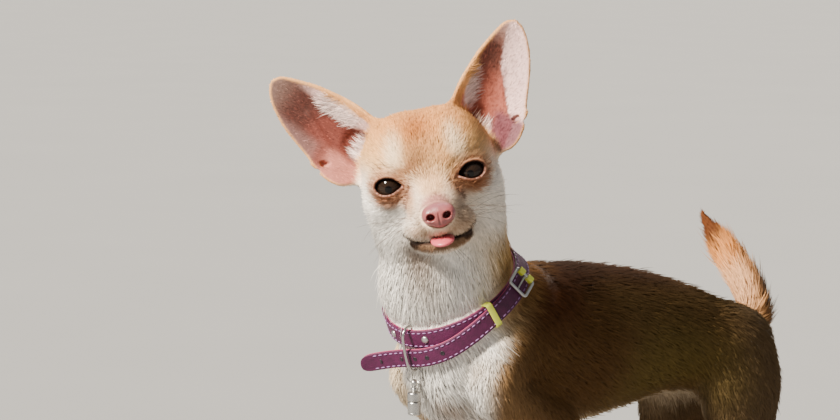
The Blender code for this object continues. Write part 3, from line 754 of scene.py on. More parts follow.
class Ear(Part):
    """A thin upright shell cupped forward, with its pocket, folds and hollow."""

    hair = Hair(0.12, 2.3, 0.22, 1.9, 9.0)
    unwrap = Unwrap.PLATE
    length = 59.0
    thickness = 4.8
    # How far out its field is measured
    reach = (40, 40, 90)
    # How far back its middle stands, how far its tip bows forward, and where its hollow is deepest
    set_back, bow, hollow = 6.0, 5.0, 1.5
    # How sharply it is cupped, and how much more so at its root
    cup, root_cup = 0.021, 0.02
    lean = {1: 32.0, -1: 43.0}
    base = {1: (30.3, 31, 22.7), -1: (-34.3, 31, 22.8)}
    # Half-widths from the ear's axis at fractions of its length: fraction, inner side, outer side
    outline = [
        (-0.30, 13.0, 12.0),
        (-0.12, 16.0, 21.0),
        (0.00, 17.0, 24.0),
        (0.16, 17.5, 24.3),
        (0.34, 16.6, 21.6),
        (0.60, 13.6, 17.6),
        (0.76, 10.4, 13.8),
        (0.88, 7.6, 9.6),
        (0.96, 4.8, 5.2),
        (1.00, 0.6, 0.6),
    ]
    # Where its long ridge runs inside, across and up it
    ridge = [(14.0, 8), (9.5, 16), (5.0, 26), (3.0, 32)]
    # The ridges by its pocket: across, up, half-width, half-height
    flaps = [(19.5, 5.0, 2.8, 3.6), (22.0, 13.5, 1.6, 2.6)]
    # The fringe's middle, its change along the ear, and where it fades out on either side
    fringe_line = {1: (-7.5, -17.0, -3.6, -1.8), -1: (-9.5, 0.0, -5.0, -3.0)}

    def __init__(self, side: Side) -> None:
        """Sets the ear on the head.

        Args:
            side: Which ear it is.
        """
        self.side = side.value
        self.name = "ear_" + side.hand
        self.axes = HEAD.inside(self.base[self.side], nod=2, tilt=-self.side * self.lean[self.side])
        rows = smooth_path(self.outline, 4)
        inner = rows[:, [1, 0]] * (-1, self.length)
        outer = rows[::-1, [2, 0]] * (1, self.length)
        self.rim = np.vstack([inner, outer])

    def distance(self, points: Array) -> Array:
        """Distance to the ear's shell."""
        local = self.axes.locate(points)
        return measured_near(local, (np.abs(local) < self.reach).all(-1), self.shell)

    def shell(self, local: Array) -> Array:
        """Distance to the shell from points in the ear's own axes."""
        across, back, up = local.T
        across = across * self.side
        share = np.clip(up / self.length, -0.3, 1.0)
        cup = self.cup + self.root_cup * np.clip(1.0 - share / 0.35, 0.0, 1.3)
        middle = self.set_back - self.bow * share**2 - cup * (across - self.hollow) ** 2
        slope = 1.0 / np.sqrt(1.0 + (2.0 * cup * (across - self.hollow)) ** 2)
        half = self.thickness / 2 - 1.0 * np.clip(share, 0.0, 1.0)
        rim = outline_distance(np.stack([across, up], axis=1), self.rim) + half
        face = np.abs(back - middle) * slope
        corner = np.sqrt(np.maximum(face, 0.0) ** 2 + np.maximum(rim, 0.0) ** 2)
        return corner + np.minimum(np.maximum(face, rim), 0.0) - half

    def folds(self, points: Array, mass: Array) -> Array:
        """The field with the ear's hollow, its ridges and the pocket on its outer edge.

        Args:
            points: Where the field is measured.
            mass: The field there.

        Returns:
            The field with those shapes in it.
        """
        local = self.axes.locate(points) * (self.side, 1, 1)
        near = (np.abs(local - (0, 0, 15)) < (34, 30, 40)).all(-1)
        return altered(mass, local, near, self.folded)

    def folded(self, spot: Array, found: Array) -> Array:
        """The field with the ear's inner shapes, at points whose left is its outer edge."""
        canal = ellipsoid(spot, (1, -2.0, 1.0), (8.0, 9.0, 10.0), nod=-12)
        wall = spot[:, 1] - self.front(spot[:, 0], spot[:, 2]) - 1.2
        found = carved(found, np.maximum(canal, wall), 2.0)
        ridge = Run([(x, self.front(x, z) + 0.3, z, 0.5, 0.8) for x, z in self.ridge])
        found = joined(found, ridge.distance(spot), 2.4)
        pocket = ellipsoid(spot, (20.5, self.front(20.5, 10), 9.5), (4.2, 3.0, 2.6), tilt=30)
        found = carved(found, np.maximum(pocket, wall + 0.6), 1.0)
        notch = ellipsoid(spot, (25.2, self.front(24, 10), 10.5), (2.6, 5.0, 1.8), tilt=25)
        found = carved(found, notch, 1.0)
        for x, z, wide, tall in self.flaps:
            flap = ellipsoid(spot, (x, self.front(x, z) - 0.4, z), (wide, 1.7, tall), tilt=-20)
            found = joined(found, flap, 1.2)
        return found

    def front(self, across: Array, up: Array) -> Array:
        """How far back the cupped front of the ear is, at places across it and up it."""
        sunk = 0.026 * (across - self.hollow) ** 2
        return 4.2 - self.bow * (up / self.length) ** 2 - sunk

    def fringe(self, points: Array) -> Array:
        """The share of long white hair near points: inside the inner edge and at the ear's root."""
        local = self.axes.locate(points)
        across, share = local[:, 0] * self.side, local[:, 2] / self.length
        ahead = ramp(self.front(across, local[:, 2]) + 2.0 - local[:, 1], -0.5, 0.5)
        middle, slope, far, close = self.fringe_line[self.side]
        edge = ramp(-np.abs(across - (middle + slope * (share - 0.12))), far, close)
        edge = edge * ramp(share, 0.05, 0.15) * ramp(-share, -0.62, -0.42)
        root = ramp(-np.abs(across - 1.0), -9.0, -5.0) * ramp(-share, -0.04, 0.03)
        root = root * ramp(share, -0.3, -0.2)
        return np.maximum(edge, root) * ahead * ramp(-np.abs(local[:, 1]), -28, -22)

    def lie(self, points: Array) -> Array:
        """Up the ear, turning out towards its edges."""
        local = self.axes.locate(points)
        wide = local * (1, 0, 0) / 26
        into = self.fringe(points)[:, None] * ramp(local[:, 2], 2, 8)[:, None]
        return (wide + (0, 0, 1.0) + into * (1.8 * self.side, -0.9, -0.2)) @ self.axes.matrix.T

    def cropped(self, points: Array) -> Array:
        """Shorter at the rim and the tip, and long in the fringe."""
        local = self.axes.locate(points)
        rim = outline_distance(local[:, [0, 2]] * (self.side, 1), self.rim)
        return 0.45 + 0.55 * ramp(-rim, 0.5, 6) + 1.8 * self.fringe(points)

    def long_axes(self) -> Axes:
        """The ear's own axes."""
        return self.axes


class Dog:
    """All the parts, joined into one field, and the skin that lies inside it."""

    eye_slit = (6.5, 9.0, 4.35)
    # How thick the lids are, and how much thicker the upper ones
    lid = 1.25
    heavy_lid = 0.35
    # How deep the coat is on the paws, and the share of its depth that the collar leaves it
    paw_depth = 0.3
    pressed = 0.35
    mouth_level = -30.5
    mouth_curve = 0.0068
    mouth_corner = 0.11
    mouth_end = -8.5
    tongue_at = (0.6, -27.0, -30.3)
    tongue_radii = (6.3, 8.5, 2.3)
    nose_at = (1.2, -32.5, -16.0)
    tear_track = [(14.5, -9, -0.5), (13.5, -10, -8), (18.5, -7, -15.5)]

    def __init__(self) -> None:
        """Makes each part."""
        self.legs: List[Limb] = [kind(side) for kind in (Foreleg, Hindleg) for side in Side]
        self.ears = [Ear(side) for side in Side]
        body, head = [Trunk(), Neck(), Tail()], [Cranium(), Muzzle()]
        self.parts: List[Part] = [*body, *self.legs, *head, *self.ears]
        self.hoop: Optional["Hoop"] = None

    def distances(self, points: Array) -> Array:
        """The distance to every part, one column each."""
        return np.stack([part.distance(points) for part in self.parts], axis=1)

    def weights(self, apart: Array, softness: float = 4.0) -> Array:
        """How much each point belongs to each part.

        Args:
            apart: The distances to the parts, one column each.
            softness: How far one part's hair runs over into the next, in millimetres.

        Returns:
            Shares that add up to 1 in each row.
        """
        nearest = apart.min(axis=1, keepdims=True)
        found = np.exp(-(apart - nearest) / softness)
        return found / found.sum(axis=1, keepdims=True)

    def flesh(self, apart: Array) -> Array:
        """The whole dog out to the tips of its coat, as the solids have it.

        Args:
            apart: The distances to the parts, one column each.

        Returns:
            The distance to the whole.
        """
        trunk, neck, tail, fore_left, fore_right, hind_left, hind_right = apart.T[:7]
        cranium, muzzle, ear_left, ear_right = apart.T[7:]
        mass = joined(trunk, neck, 22)
        for leg in (fore_left, hind_left, fore_right, hind_right):
            mass = joined(mass, leg, 9)
        mass = joined(mass, tail, 8)
        mass = joined(mass, joined(cranium, muzzle, 7), 12)
        for ear in (ear_left, ear_right):
            mass = joined(mass, ear, 7)
        return mass

    def outer(self, points: Array) -> Array:
        """Distance to the tips of the coat."""
        return self.flesh(self.distances(points))

    def skin(self, points: Array) -> Array:
        """Distance to the skin, which lies inside the coat by its depth."""
        apart = self.distances(points)
        mass = self.flesh(apart)
        depth = self.weights(apart) @ np.array([part.hair.depth for part in self.parts])
        low = ramp(-points[:, 2], -16, -6)
        depth = depth * (1 - low) + self.paw_depth * low
        if self.hoop:
            free = ramp(np.abs(self.hoop.height(points)), 4.0, 7.0)
            depth = depth * (self.pressed + (1 - self.pressed) * free)
        mass = self.face(points, mass + depth)
        for ear in self.ears:
            mass = ear.folds(points, mass)
        return np.maximum(mass, -points[:, 2])

    def almond(self, local: Array, side: int) -> Array:
        """Distance to the opening between an eye's lids, with its inner corner.

        Args:
            local: Points in the head's axes.
            side: The sign of the eye's side.

        Returns:
            The distance at each point.
        """
        centre = (side * (POSE.eye_spacing / 2 + 1.7), -6, 0.7)
        opening = ellipsoid(local, centre, self.eye_slit, turn=12 * side)
        corner = ellipsoid(local, (side * 17.6, -7.5, 0.2), (2.2, 7, 1.2), tilt=8 * side)
        return joined(opening, corner, 2.0)

    def smile(self, local: Array) -> Array:
        """Height above the line where the lips meet, which turns up at its corners."""
        wide = np.abs(local[:, 0])
        curve = self.mouth_curve * wide**2 + self.mouth_corner * np.maximum(wide - 15.0, 0.0) ** 2
        return local[:, 2] - self.mouth_level - curve

    def face(self, points: Array, mass: Array) -> Array:
        """The field with the lids, their folds, the lips and the beds of the nose and tongue.

        Args:
            points: Where the field is measured.
            mass: The field there.

        Returns:
            The field with the face's fine shapes in it.
        """
        local = HEAD.locate(points)
        near = (np.abs(local - (0, -15, -10)) < (42, 38, 40)).all(-1)
        return altered(mass, local, near, self.featured)

    def featured(self, spot: Array, found: Array) -> Array:
        """The field with the face's fine shapes, at points in the head's axes."""
        for side in (1, -1):
            found = self.lids(spot, found, side)
        line = self.smile(spot)
        gap = 0.5 * ramp(self.mouth_end - spot[:, 1], 0.0, 8.0) - 0.05
        slit = np.maximum(np.abs(line) - gap, spot[:, 1] - self.mouth_end)
        slit = np.maximum(slit, -(found + 4.5))
        found = carved(found, slit, 1.5)
        x, y, z = self.nose_at
        philtrum = Run([
            (x, y - 1, z - 5, 0.5, 1.0),
            (x, y + 1.5, z - 9, 0.4, 1.0),
            (x, y + 3, z - 13.5, 0.5, 1.2),
        ])
        found = carved(found, philtrum.distance(spot), 1.2)
        found = carved(found, nose_pad(spot, self.nose_at) - 0.1, 0.6)
        return carved(found, self.tongue(spot) - 0.25, 0.5)

    def tear(self, side: int, *radii: float) -> Run:
        """The groove that tears run down from an eye's inner corner."""
        return Run([(side * x, y, z, *radii) for x, y, z in self.tear_track])

    def lids(self, spot: Array, mass: Array, side: int) -> Array:
        """The field with an eye's lids: their opening, their rims and the folds around them.

        Args:
            spot: Points in the head's axes.
            mass: The field there.
            side: The sign of the eye's side.

        Returns:
            The field with the lids in it.
        """
        middle = (side * POSE.eye_spacing / 2, POSE.eye_back, 0)
        ball = np.linalg.norm(spot - middle, axis=1)
        almond = self.almond(spot, side)
        upper, lower = ramp(spot[:, 2], 0, 3), ramp(-spot[:, 2], 0, 3)
        radius = POSE.eyeball_radius
        mass = joined(mass, ball - radius - self.lid - self.heavy_lid * upper, 3.0)
        folds = ((2.6, 0.55, upper), (5.2, 0.5, upper), (2.4, 0.5, lower), (4.6, 0.6, lower))
        for away, deep, share in folds:
            crease = np.hypot(almond - away, mass) - deep * share
            mass = carved(mass, crease, 1.0)
        tear = self.tear(side, 0.5, 0.7).distance(spot)
        mass = carved(mass, tear + 3.0 * ramp(-mass, 1.0, 2.0), 1.6)
        mass = carved(mass, almond, 0.7)
        return carved(mass, ball - radius - 0.05, 0.25)

    def tongue(self, local: Array) -> Array:
        """Distance to the tip of the tongue, with the groove along its middle."""
        own = Axes.turned(self.tongue_at, nod=14).locate(local)
        mass = scaled_distance(own, np.array(self.tongue_radii))
        groove = np.hypot(own[:, 0], own[:, 2] - 2.5) - 0.3
        return carved(mass, groove, 1.0)


def nose_pad(local: Array, at: Triple, nostrils: bool = False) -> Array:
    """Distance to the nose pad, in the head's axes.

    Args:
        local: Where to measure.
        at: The pad's middle.
        nostrils: Whether its nostrils, their slits and the philtrum are cut into it.

    Returns:
        The distance at each point.
    """
    x, y, z = at
    mass = ellipsoid(local, (x, y, z + 0.5), (8.0, 7, 5.8))
    mass = joined(mass, ellipsoid(local, (x, y - 0.5, z - 3), (5, 5.5, 4)), 3)
    for side in (1, -1):
        mass = joined(mass, ellipsoid(local, (x + side * 4.7, y - 1.5, z - 0.2), (4.0, 5.2, 4.6)), 2)
    if not nostrils:
        return mass
    for side in (1, -1):
        hole = ellipsoid(local, (x + side * 4.3, y - 6.5, z - 0.7), (2.3, 4.8, 1.9), tilt=20 * side)
        slit = Run([
            (x + side * 4.6, y - 7.0, z - 1.2, 0.5, 1.2),
            (x + side * 6.6, y - 5.6, z - 2.4, 0.4, 1.1),
            (x + side * 8.2, y - 3.2, z - 2.8, 0.3, 1.0),
        ])
        mass = carved(mass, hole, 0.8)
        mass = carved(mass, slit.distance(local), 0.6)
    groove = Run([
        (x, y - 7.2, z + 0.5, 0.25, 0.6),
        (x, y - 7.0, z - 3, 0.4, 0.9),
        (x, y - 5.4, z - 7, 0.5, 1.0),
    ])
    return carved(mass, groove.distance(local), 0.8)


# Surfaces of a field


def sampled(shape: Field, low: Array, counts: Array, voxel: float) -> Array:
    """The field on a grid, found first roughly, then finely in the blocks near its surface.

    Args:
        shape: The field.
        low: The grid's first corner.
        counts: How many points the grid has along each axis.
        voxel: The distance between them.

    Returns:
        The values on the grid, exact only near the surface.
    """
    coarse, fine = 8, 2
    tall = [int(math.ceil(count / coarse)) for count in counts]
    blocks = np.stack(np.meshgrid(*map(np.arange, tall), indexing="ij"), axis=-1).reshape(-1, 3)
    rough = measured(shape, low + (blocks + 0.5) * coarse * voxel - voxel / 2)
    values = rough.reshape(tall).astype(np.float32)
    for axis in range(3):
        values = np.repeat(values, coarse, axis)
    near = blocks[np.abs(rough) < 1.25 * coarse * voxel] * coarse
    for block, reach in ((fine, 2.0), (1, None)):
        ticks = np.arange(0, coarse if block == fine else fine, block)
        steps = np.stack(np.meshgrid(ticks, ticks, ticks, indexing="ij"), axis=-1).reshape(-1, 3)
        index = (near[:, None] + steps).reshape(-1, 3)
        found = measured(shape, low + (index + (block - 1) / 2) * voxel)
        for x, y, z in np.ndindex(block, block, block):
            values[tuple((index + (x, y, z)).T)] = found
        if reach:
            near = index[np.abs(found) < reach * block * voxel]
    return values


def measured(shape: Field, points: Array, lot: int = 150000) -> Array:
    """The field at many points, some at a time."""
    starts = range(0, len(points), lot)
    return np.concatenate([shape(points[start : start + lot]) for start in starts])


def polygonised(shape: Field, low: Array, high: Array, voxel: float) -> Tuple[Array, Array]:
    """The surface of a field between two corners.

    Args:
        shape: The field.
        low: The first corner, in millimetres.
        high: The last corner.
        voxel: How fine the surface is.

    Returns:
        Its points and its quads.
    """
    values = sampled(shape, low, np.ceil((high - low) / voxel), voxel)
    for axis in range(3):
        edge = np.moveaxis(values, axis, 0)
        edge[0] = edge[-1] = voxel
    grid = openvdb.FloatGrid(FAR)
    grid.copyFromArray(values)
    corners, _, quads = grid.convertToPolygons()
    return corners * voxel + low, quads


def settled(shape: Field, points: Array, step: float = 0.05) -> Array:
    """Points moved along the field's slope onto its surface."""
    value = measured(shape, points)
    slope = np.stack([measured(shape, points + move) for move in np.eye(3) * step], axis=1)
    slope = (slope - value[:, None]) / step
    steep = np.maximum((slope**2).sum(axis=1), 0.3)
    move = value[:, None] * slope / steep[:, None]
    size = np.linalg.norm(move, axis=1, keepdims=True)
    return points - move * np.minimum(1.0, 0.5 / (size + 1e-9))


def make_mesh(name: str, points: Array, faces: Array) -> bpy.types.Mesh:
    """A mesh from points in millimetres and faces of one kind.

    Args:
        name: The mesh's name.
        points: One row to each point.
        faces: One row of point numbers to each face.

    Returns:
        The mesh, shaded smooth.
    """
    mesh = bpy.data.meshes.new(name)
    count, corners = faces.shape
    mesh.vertices.add(len(points))
    mesh.vertices.foreach_set("co", (points * MM).astype(np.float32).ravel())
    mesh.loops.add(count * corners)
    mesh.loops.foreach_set("vertex_index", faces.astype(np.int32).ravel())
    mesh.polygons.add(count)
    mesh.polygons.foreach_set("loop_start", np.arange(0, count * corners, corners, dtype=np.int32))
    mesh.polygons.foreach_set("use_smooth", np.ones(count, bool))
    mesh.update(calc_edges=True)
    return mesh


def paint(mesh: bpy.types.Mesh, name: str, colours: Array) -> None:
    """Keeps a colour for each point of a mesh."""
    layer = mesh.color_attributes.new(name, "FLOAT_COLOR", "POINT")
    filled = np.concatenate([colours, np.ones((len(colours), 1))], axis=1)
    layer.data.foreach_set("color", filled.astype(np.float32).ravel())


def place(
    name: str,
    mesh: bpy.types.Mesh,
    finishes: Sequence[bpy.types.Material],
    slot: str,
    nodes: Sequence[str] = (),
) -> bpy.types.Object:
    """Puts a piece in the scene, on the body, in the place of the solids it stands for.

    Args:
        name: The piece's name.
        mesh: Its shape.
        finishes: Its materials, in the order of its faces' numbers.
        slot: Not used.
        nodes: The solids that it takes the place of.

    Returns:
        The piece.
    """
    piece = bpy.data.objects.new(name, mesh)
    bpy.context.scene.collection.objects.link(piece)
    for finish in finishes:
        mesh.materials.append(finish)
    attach(piece, BODY)
    if nodes:
        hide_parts(*nodes)
    log.info("%s: %d faces", name, len(mesh.polygons))
    return piece


# Coat colours, with painted shade and highlights


@dataclass(frozen=True)
class Patch:
    """A soft patch of colour: an ellipsoid in a part's axes, and how strongly it covers.

    Its colour, like every colour in this script, is given as it looks on a screen, 0 to 255.
    """

    axes: Axes
    centre: Triple
    radii: Triple
    colour: Triple
    strength: float = 1.0
    soft: float = 0.5
    turn: float = 0.0
    nod: float = 0.0
    tilt: float = 0.0

    def laid(self, points: Array, colours: Array) -> Array:
        """Colours with the patch over them."""
        own = self.axes.inside(self.centre, self.turn, self.nod, self.tilt).locate(points)
        reach = np.sqrt(((own / self.radii) ** 2).sum(-1))
        share = self.strength * (1.0 - ramp(reach, 1.0 - self.soft, 1.0 + self.soft))
        return tinted(colours, share, self.colour)


CREAM = (236, 218, 192)
WHITE = (253, 249, 243)
FAWN = (214, 156, 100)
RUST = (172, 110, 62)
SABLE = (96, 66, 46)
# Tan darkened and tinted olive: the coat's tan with painted shade and a painted green reflected tint
TAN_AND_SHADE = (112, 98, 56)
LIP = (56, 34, 26)
PAD = (74, 58, 54)
RICHNESS = 1.25


class Markings:
    """The coat's colours, with painted shade and a painted highlight among them, the same on the skin
    and on the tufts.
    """

    ear_pink = {1: (168, 106, 92), -1: (136, 84, 76)}
    # How far out the pale outer part starts in the left ear, at shares of its length. Its paleness is
    # partly painted light, where that part catches the light
    pale_edge = (0.1, 0.19, 0.57, 0.85), (18, 13.6, 1.0, -2.6)

    def __init__(self, dog: Dog) -> None:
        """Lays out the patches over each part's base colour, which for the trunk and legs is darkened
        partly as painted shade.

        Args:
            dog: The dog that wears them.
        """
        self.dog = dog
        base = {
            # The trunk's and legs' colours are their coat's, darkened partly as painted shade, the
            # left foreleg a little more
            "trunk": (116, 94, 62),
            "neck": (228, 200, 158),
            "tail": (210, 160, 108),
            "foreleg_left": (150, 122, 90),
            "foreleg_right": (158, 130, 98),
            "hindleg_left": (112, 94, 72),
            "hindleg_right": (114, 95, 72),
            "cranium": (228, 190, 142),
            "muzzle": (232, 208, 184),
            "ear_left": (224, 174, 122),
            "ear_right": (224, 174, 122),
        }
        self.base = np.array([linear(*base[part.name]) for part in dog.parts])
        self.patches = self.body_patches() + self.leg_patches() + self.head_patches()

    def body_patches(self) -> List[Patch]:
        """Back, flanks, belly, chest, throat and tail, with painted shade and a painted highlight
        among them.
        """
        return [
            Patch(HIND, (0, -40, 206), (34, 120, 22), SABLE, 0.9),
            # Darker on the left of the neck behind the collar: sable with painted shade
            Patch(FORE, (24, 2, 200), (16, 26, 18), SABLE, 0.9, 0.6),
            Patch(FORE, (0, 4, 214), (30, 46, 24), SABLE, 0.8),
            # Olive flanks: tan coat with painted shade and a painted green reflected tint
            *(Patch(HIND, (x, -44, 140), (18, 46, 34), TAN_AND_SHADE, 0.75) for x in (44, -44)),
            # A pale streak down behind each shoulder: a painted highlight
            *(
                Patch(FORE, (x, 12, 176), (14, 5, 34), (128, 106, 80), 0.6, 0.7, nod=-18)
                for x in (38, -38)
            ),
            Patch(FORE, (0, 30, 108), (40, 70, 14), CREAM, 0.7),
            Patch(HIND, (0, -20, 118), (22, 60, 10), CREAM, 0.6),
            Patch(FORE, (-6, -78, 166), (34, 30, 50), WHITE, 1.0),
            Patch(FORE, (-2, -84, 207), (44, 40, 56), WHITE, 1.0, 0.35),
            Patch(FORE, (-36, -60, 146), (22, 26, 34), CREAM, 0.95, 0.5),
            # Olive-brown shoulders and the left of the neck: coat colour darkened as painted shade,
            # most on the left
            Patch(FORE, (40, -6, 166), (22, 40, 46), (104, 78, 48), 0.9, 0.45),
            Patch(FORE, (-42, 0, 166), (22, 36, 46), (104, 78, 48), 0.85, 0.6),
            Patch(FORE, (24, -14, 196), (24, 26, 26), (96, 64, 42), 0.9, 0.5),
            Patch(FORE, (22, -72, 146), (20, 25, 28), WHITE, 0.95, 0.4),
            Patch(FORE, (27, -66, 168), (15, 22, 20), WHITE, 0.9, 0.4),
            # Grey-brown under the chest's whorl and low between the forelegs: painted shade
            Patch(FORE, (31, -56, 158), (7, 14, 8), (150, 126, 100), 0.6, 0.8),
            Patch(FORE, (14, -74, 136), (10, 16, 6), (150, 116, 90), 0.6, 0.8),
            Patch(FORE, (-5, -22, 228), (30, 26, 46), (196, 150, 98), 0.9),
            Patch(FORE, (26, -34, 222), (13, 16, 34), (190, 156, 102), 0.6),
            Patch(FORE, (-36, -62, 205), (8, 26, 44), (232, 184, 118), 0.7),
            # Grey-brown on the throat under the chin: the head's painted shadow
            Patch(FORE, (9, -88, 226), (9, 16, 24), (138, 118, 104), 0.85, 0.9, tilt=16),
            Patch(HIND, (-14, 17, 218), (10, 12, 18), (112, 70, 44), 0.9, 0.7),
            Patch(HIND, (-8, 29, 192), (14, 8, 20), (222, 160, 100), 0.8),
            Patch(HIND, (-2, 33, 172), (14, 9, 16), (230, 186, 150), 0.8),
            # Dark grey on the tail's lower stretch by the rump: painted shade
            Patch(HIND, (3, 50, 164), (15, 9, 28), (84, 70, 64), 0.95),
        ]

    def leg_patches(self) -> List[Patch]:
        """Lower legs, paws and pads."""
        found = []
        for leg in self.dog.legs:
            (x, y, _), wide, _ = leg.paw_plan()
            found += [
                Patch(leg.axes, (x, y, 22), (24, 40, 40), CREAM, 0.75),
                Patch(leg.axes, (x, y, 4), (18, 26, 18), WHITE, 0.7),
                Patch(leg.axes, (x, y, -3), (wide + 8, 30, 4.5), PAD, 0.95, 0.25),
                Patch(leg.axes, (x * 0.35, y + 6, 70), (14, 36, 34), FAWN, 0.25),
            ]
        return found

    def head_patches(self) -> List[Patch]:
        """Forehead, brows, cheeks, stains and muzzle, with painted shade beside the nose."""
        found = [
            Patch(HEAD, (0, 12, 28), (31, 30, 20), FAWN, 0.9),
            Patch(HEAD, (-2, 2, 24), (7, 12, 9), RUST, 0.7, 0.9),
            Patch(HEAD, (-5, -6, 10), (7, 9, 9), (160, 122, 90), 0.8, 0.8),
            Patch(HEAD, (3, -6, 13), (7, 9, 10), (188, 146, 104), 0.6, 0.8),
            Patch(HEAD, (0, -14, -3), (7, 12, 8), (232, 190, 146), 0.7),
            Patch(HEAD, (1, -28, -9), (9, 7, 5), (184, 132, 128), 0.85),
        ]
        for side in (1, -1):
            found += [
                Patch(HEAD, (side * 31, 14, -16), (18, 26, 22), WHITE, 0.85),
                Patch(HEAD, (side * 16, -2, 15), (4.5, 12, 10), CREAM, 0.8, 0.8, tilt=8 * side),
                Patch(HEAD, (side * 23, -4, 1.0), (11.5, 9, 8), (190, 144, 112), 0.8, 0.5),
                Patch(HEAD, (side * 23, -5, -7.0), (8.5, 8, 4.6), (170, 116, 80), 0.8, 0.6),
                Patch(HEAD, (side * 13, -10, -5), (4, 8, 7), (178, 126, 92), 0.7, 0.7),
                Patch(HEAD, (side * 9, -26, -24.5), (9, 7, 3.6), (190, 158, 132), 0.55, 0.7),
            ]
        found += [
            Patch(HEAD, (-11, -8, 6.5), (7.5, 9, 3.2), (150, 108, 78), 0.75, 0.7, tilt=24),
            Patch(HEAD, (10, -8, 7.5), (4.5, 9, 3.0), (186, 140, 100), 0.5, 0.7, tilt=-24),
            Patch(HEAD, (-13, -16, -11), (4.5, 9, 5.5), (204, 160, 122), 0.6, 0.7),
            # Grey-brown beside the nose on the left: painted shade
            Patch(HEAD, (13, -20, -19), (5.5, 9, 5.5), (150, 126, 108), 0.5, 0.7),
        ]
        return found

    def at(self, points: Array, normals: Array) -> Array:
        """The colour of the coat at points, painted shade and highlights included.

        Args:
            points: Places on the skin.
            normals: The ways that the skin faces there.

        Returns:
            One colour to each point.
        """
        weights = self.dog.weights(self.dog.distances(points), 3.0)
        colours = weights @ self.base
        for patch in self.patches:
            colours = patch.laid(points, colours)
        for ear, mine in zip(self.dog.ears, weights[:, -2:].T):
            colours = self.inside_ear(ear, points, normals, mine, colours)
        local = HEAD.locate(points)
        for side in (1, -1):
            colours = self.lids(local, side, colours)
        return np.clip(self.lips(local, colours), 0.0, 1.0) ** RICHNESS

    def inside_ear(
        self, ear: Ear, points: Array, normals: Array, mine: Array, colours: Array
    ) -> Array:
        """Colours with the bare inside of an ear.

        Args:
            ear: The ear.
            points: Places on the skin.
            normals: The ways that the skin faces there.
            mine: How much each point belongs to the ear.
            colours: The colours there.

        Returns:
            The colours, changed in front of the ear and inside its edge.
        """
        local = ear.axes.locate(points)
        across, share = local[:, 0] * ear.side, local[:, 2] / ear.length
        rim = outline_distance(np.stack([across, local[:, 2]], axis=1), ear.rim)
        furred = 3.6 * ramp(-share, -0.75, -0.1) + 0.9
        margin = 0.4 + furred * ramp(-across, 3, 9) * (1.0 if ear.side > 0 else 0.8)
        facing = normals @ ear.axes.matrix[:, 1]
        inside = ramp(-facing, -0.1, 0.35) * ramp(-rim - margin, 0.0, 1.6)
        inside *= ramp(local[:, 2], -16, -6) * ramp(-np.abs(local[:, 1]), -30, -20)
        inside *= ramp(mine, 0.5, 0.85)
        pink = np.ones((len(points), 1)) * linear(*self.ear_pink[ear.side])
        zones = self.ear_zones(ear.side, local, across, share)
        for strength, colour in (*zones, (ear.fringe(points), (246, 226, 220))):
            pink = tinted(pink, 0.88 * strength, colour)
        return colours + inside[:, None] * (pink - colours)

    def ear_zones(
        self, side: int, local: Array, across: Array, share: Array
    ) -> List[Tuple[Array, Triple]]:
        """How strongly each colour covers the inside of an ear.

        Args:
            side: The sign of the ear's side.
            local: Points in the ear's axes.
            across: How far they are towards its outer edge.
            share: How far they are up it, from 0 to 1.

        Returns:
            The strengths at the points and the colour, for each zone.
        """
        waves = np.sin(local[:, 0] * 3.3 + 2 * np.sin(local[:, 2] * 1.9))
        dark = ramp(share, 0.38, 0.58) * (0.72 + 0.28 * waves * np.sin(local[:, 2] * 2.7))
        if side < 0:
            return [
                (dark, (80, 62, 58)),
                (ramp(share, 0.66, 0.95), (148, 124, 116)),
                (ramp(across, 9, 15) * ramp(share, 0.2, 0.4), (150, 120, 116)),
                (ramp(-across, 4.5, 8.5) * ramp(-share, -0.85, -0.6), (222, 192, 186)),
                (ramp(-share, -0.26, -0.12) * ramp(across, 8, 13), (204, 146, 134)),
            ]
        # The pale outer part: paler skin with painted light over it
        beyond = ramp(across - np.interp(share, *self.pale_edge), -0.6, 1.0)
        return [
            (dark * ramp(-share, -1.0, -0.7), (74, 58, 54)),
            (ramp(share, 0.68, 0.95), (206, 176, 166)),
            (beyond, (236, 206, 202)),
            (ramp(-share, -0.2, -0.12) * ramp(across, 5, 11), (122, 78, 88)),
            (ramp(-across, 8, 12) * ramp(-share, -0.62, -0.3), (222, 152, 134)),
        ]

    def lids(self, local: Array, side: int, colours: Array) -> Array:
        """Colours with an eye's dark rims, the upper one with painted shadow, painted shade in the
        creases round it, and the stain under it.

        Args:
            local: Points in the head's axes.
            side: The sign of the eye's side.
            colours: The colours there.

        Returns:
            The colours round the eye.
        """
        x, y, z = local.T
        front = ramp(-y, -4, 2)
        almond = self.dog.almond(local, side)
        below = ramp(-z, -1.2, 0.6)
        folds = 0.5 + 0.5 * np.sin(3.4 * almond + 1.6 * np.sin(0.9 * x) + 0.7 * np.sin(2.1 * z))
        # Darker in the folds round the eye: painted shade
        crease = 0.45 * ramp(-almond, -7.5, -1.5) * folds * (0.45 + 0.55 * below)
        stained = 0.75 * ramp(-self.dog.tear(side, 1, 1).distance(local), -1.6, 0.3)
        for share, colour in (
            (crease, (128, 78, 54)),
            (stained, (98, 58, 46)),
            (0.8 * ramp(-almond, -2.6, -0.7), (142, 96, 76)),
            (0.75 * ramp(-almond, -0.8, -0.5) * below, (214, 170, 156)),
            # The upper lid's dark rim: dark skin with painted shadow at the eye's edge
            (0.95 * ramp(-almond, -1.3, -0.6) * (1 - below), (58, 34, 26)),
            (0.9 * ramp(-almond, -0.5, -0.1) * below, (60, 34, 28)),
        ):
            colours = tinted(colours, share * front, colour)
        return colours

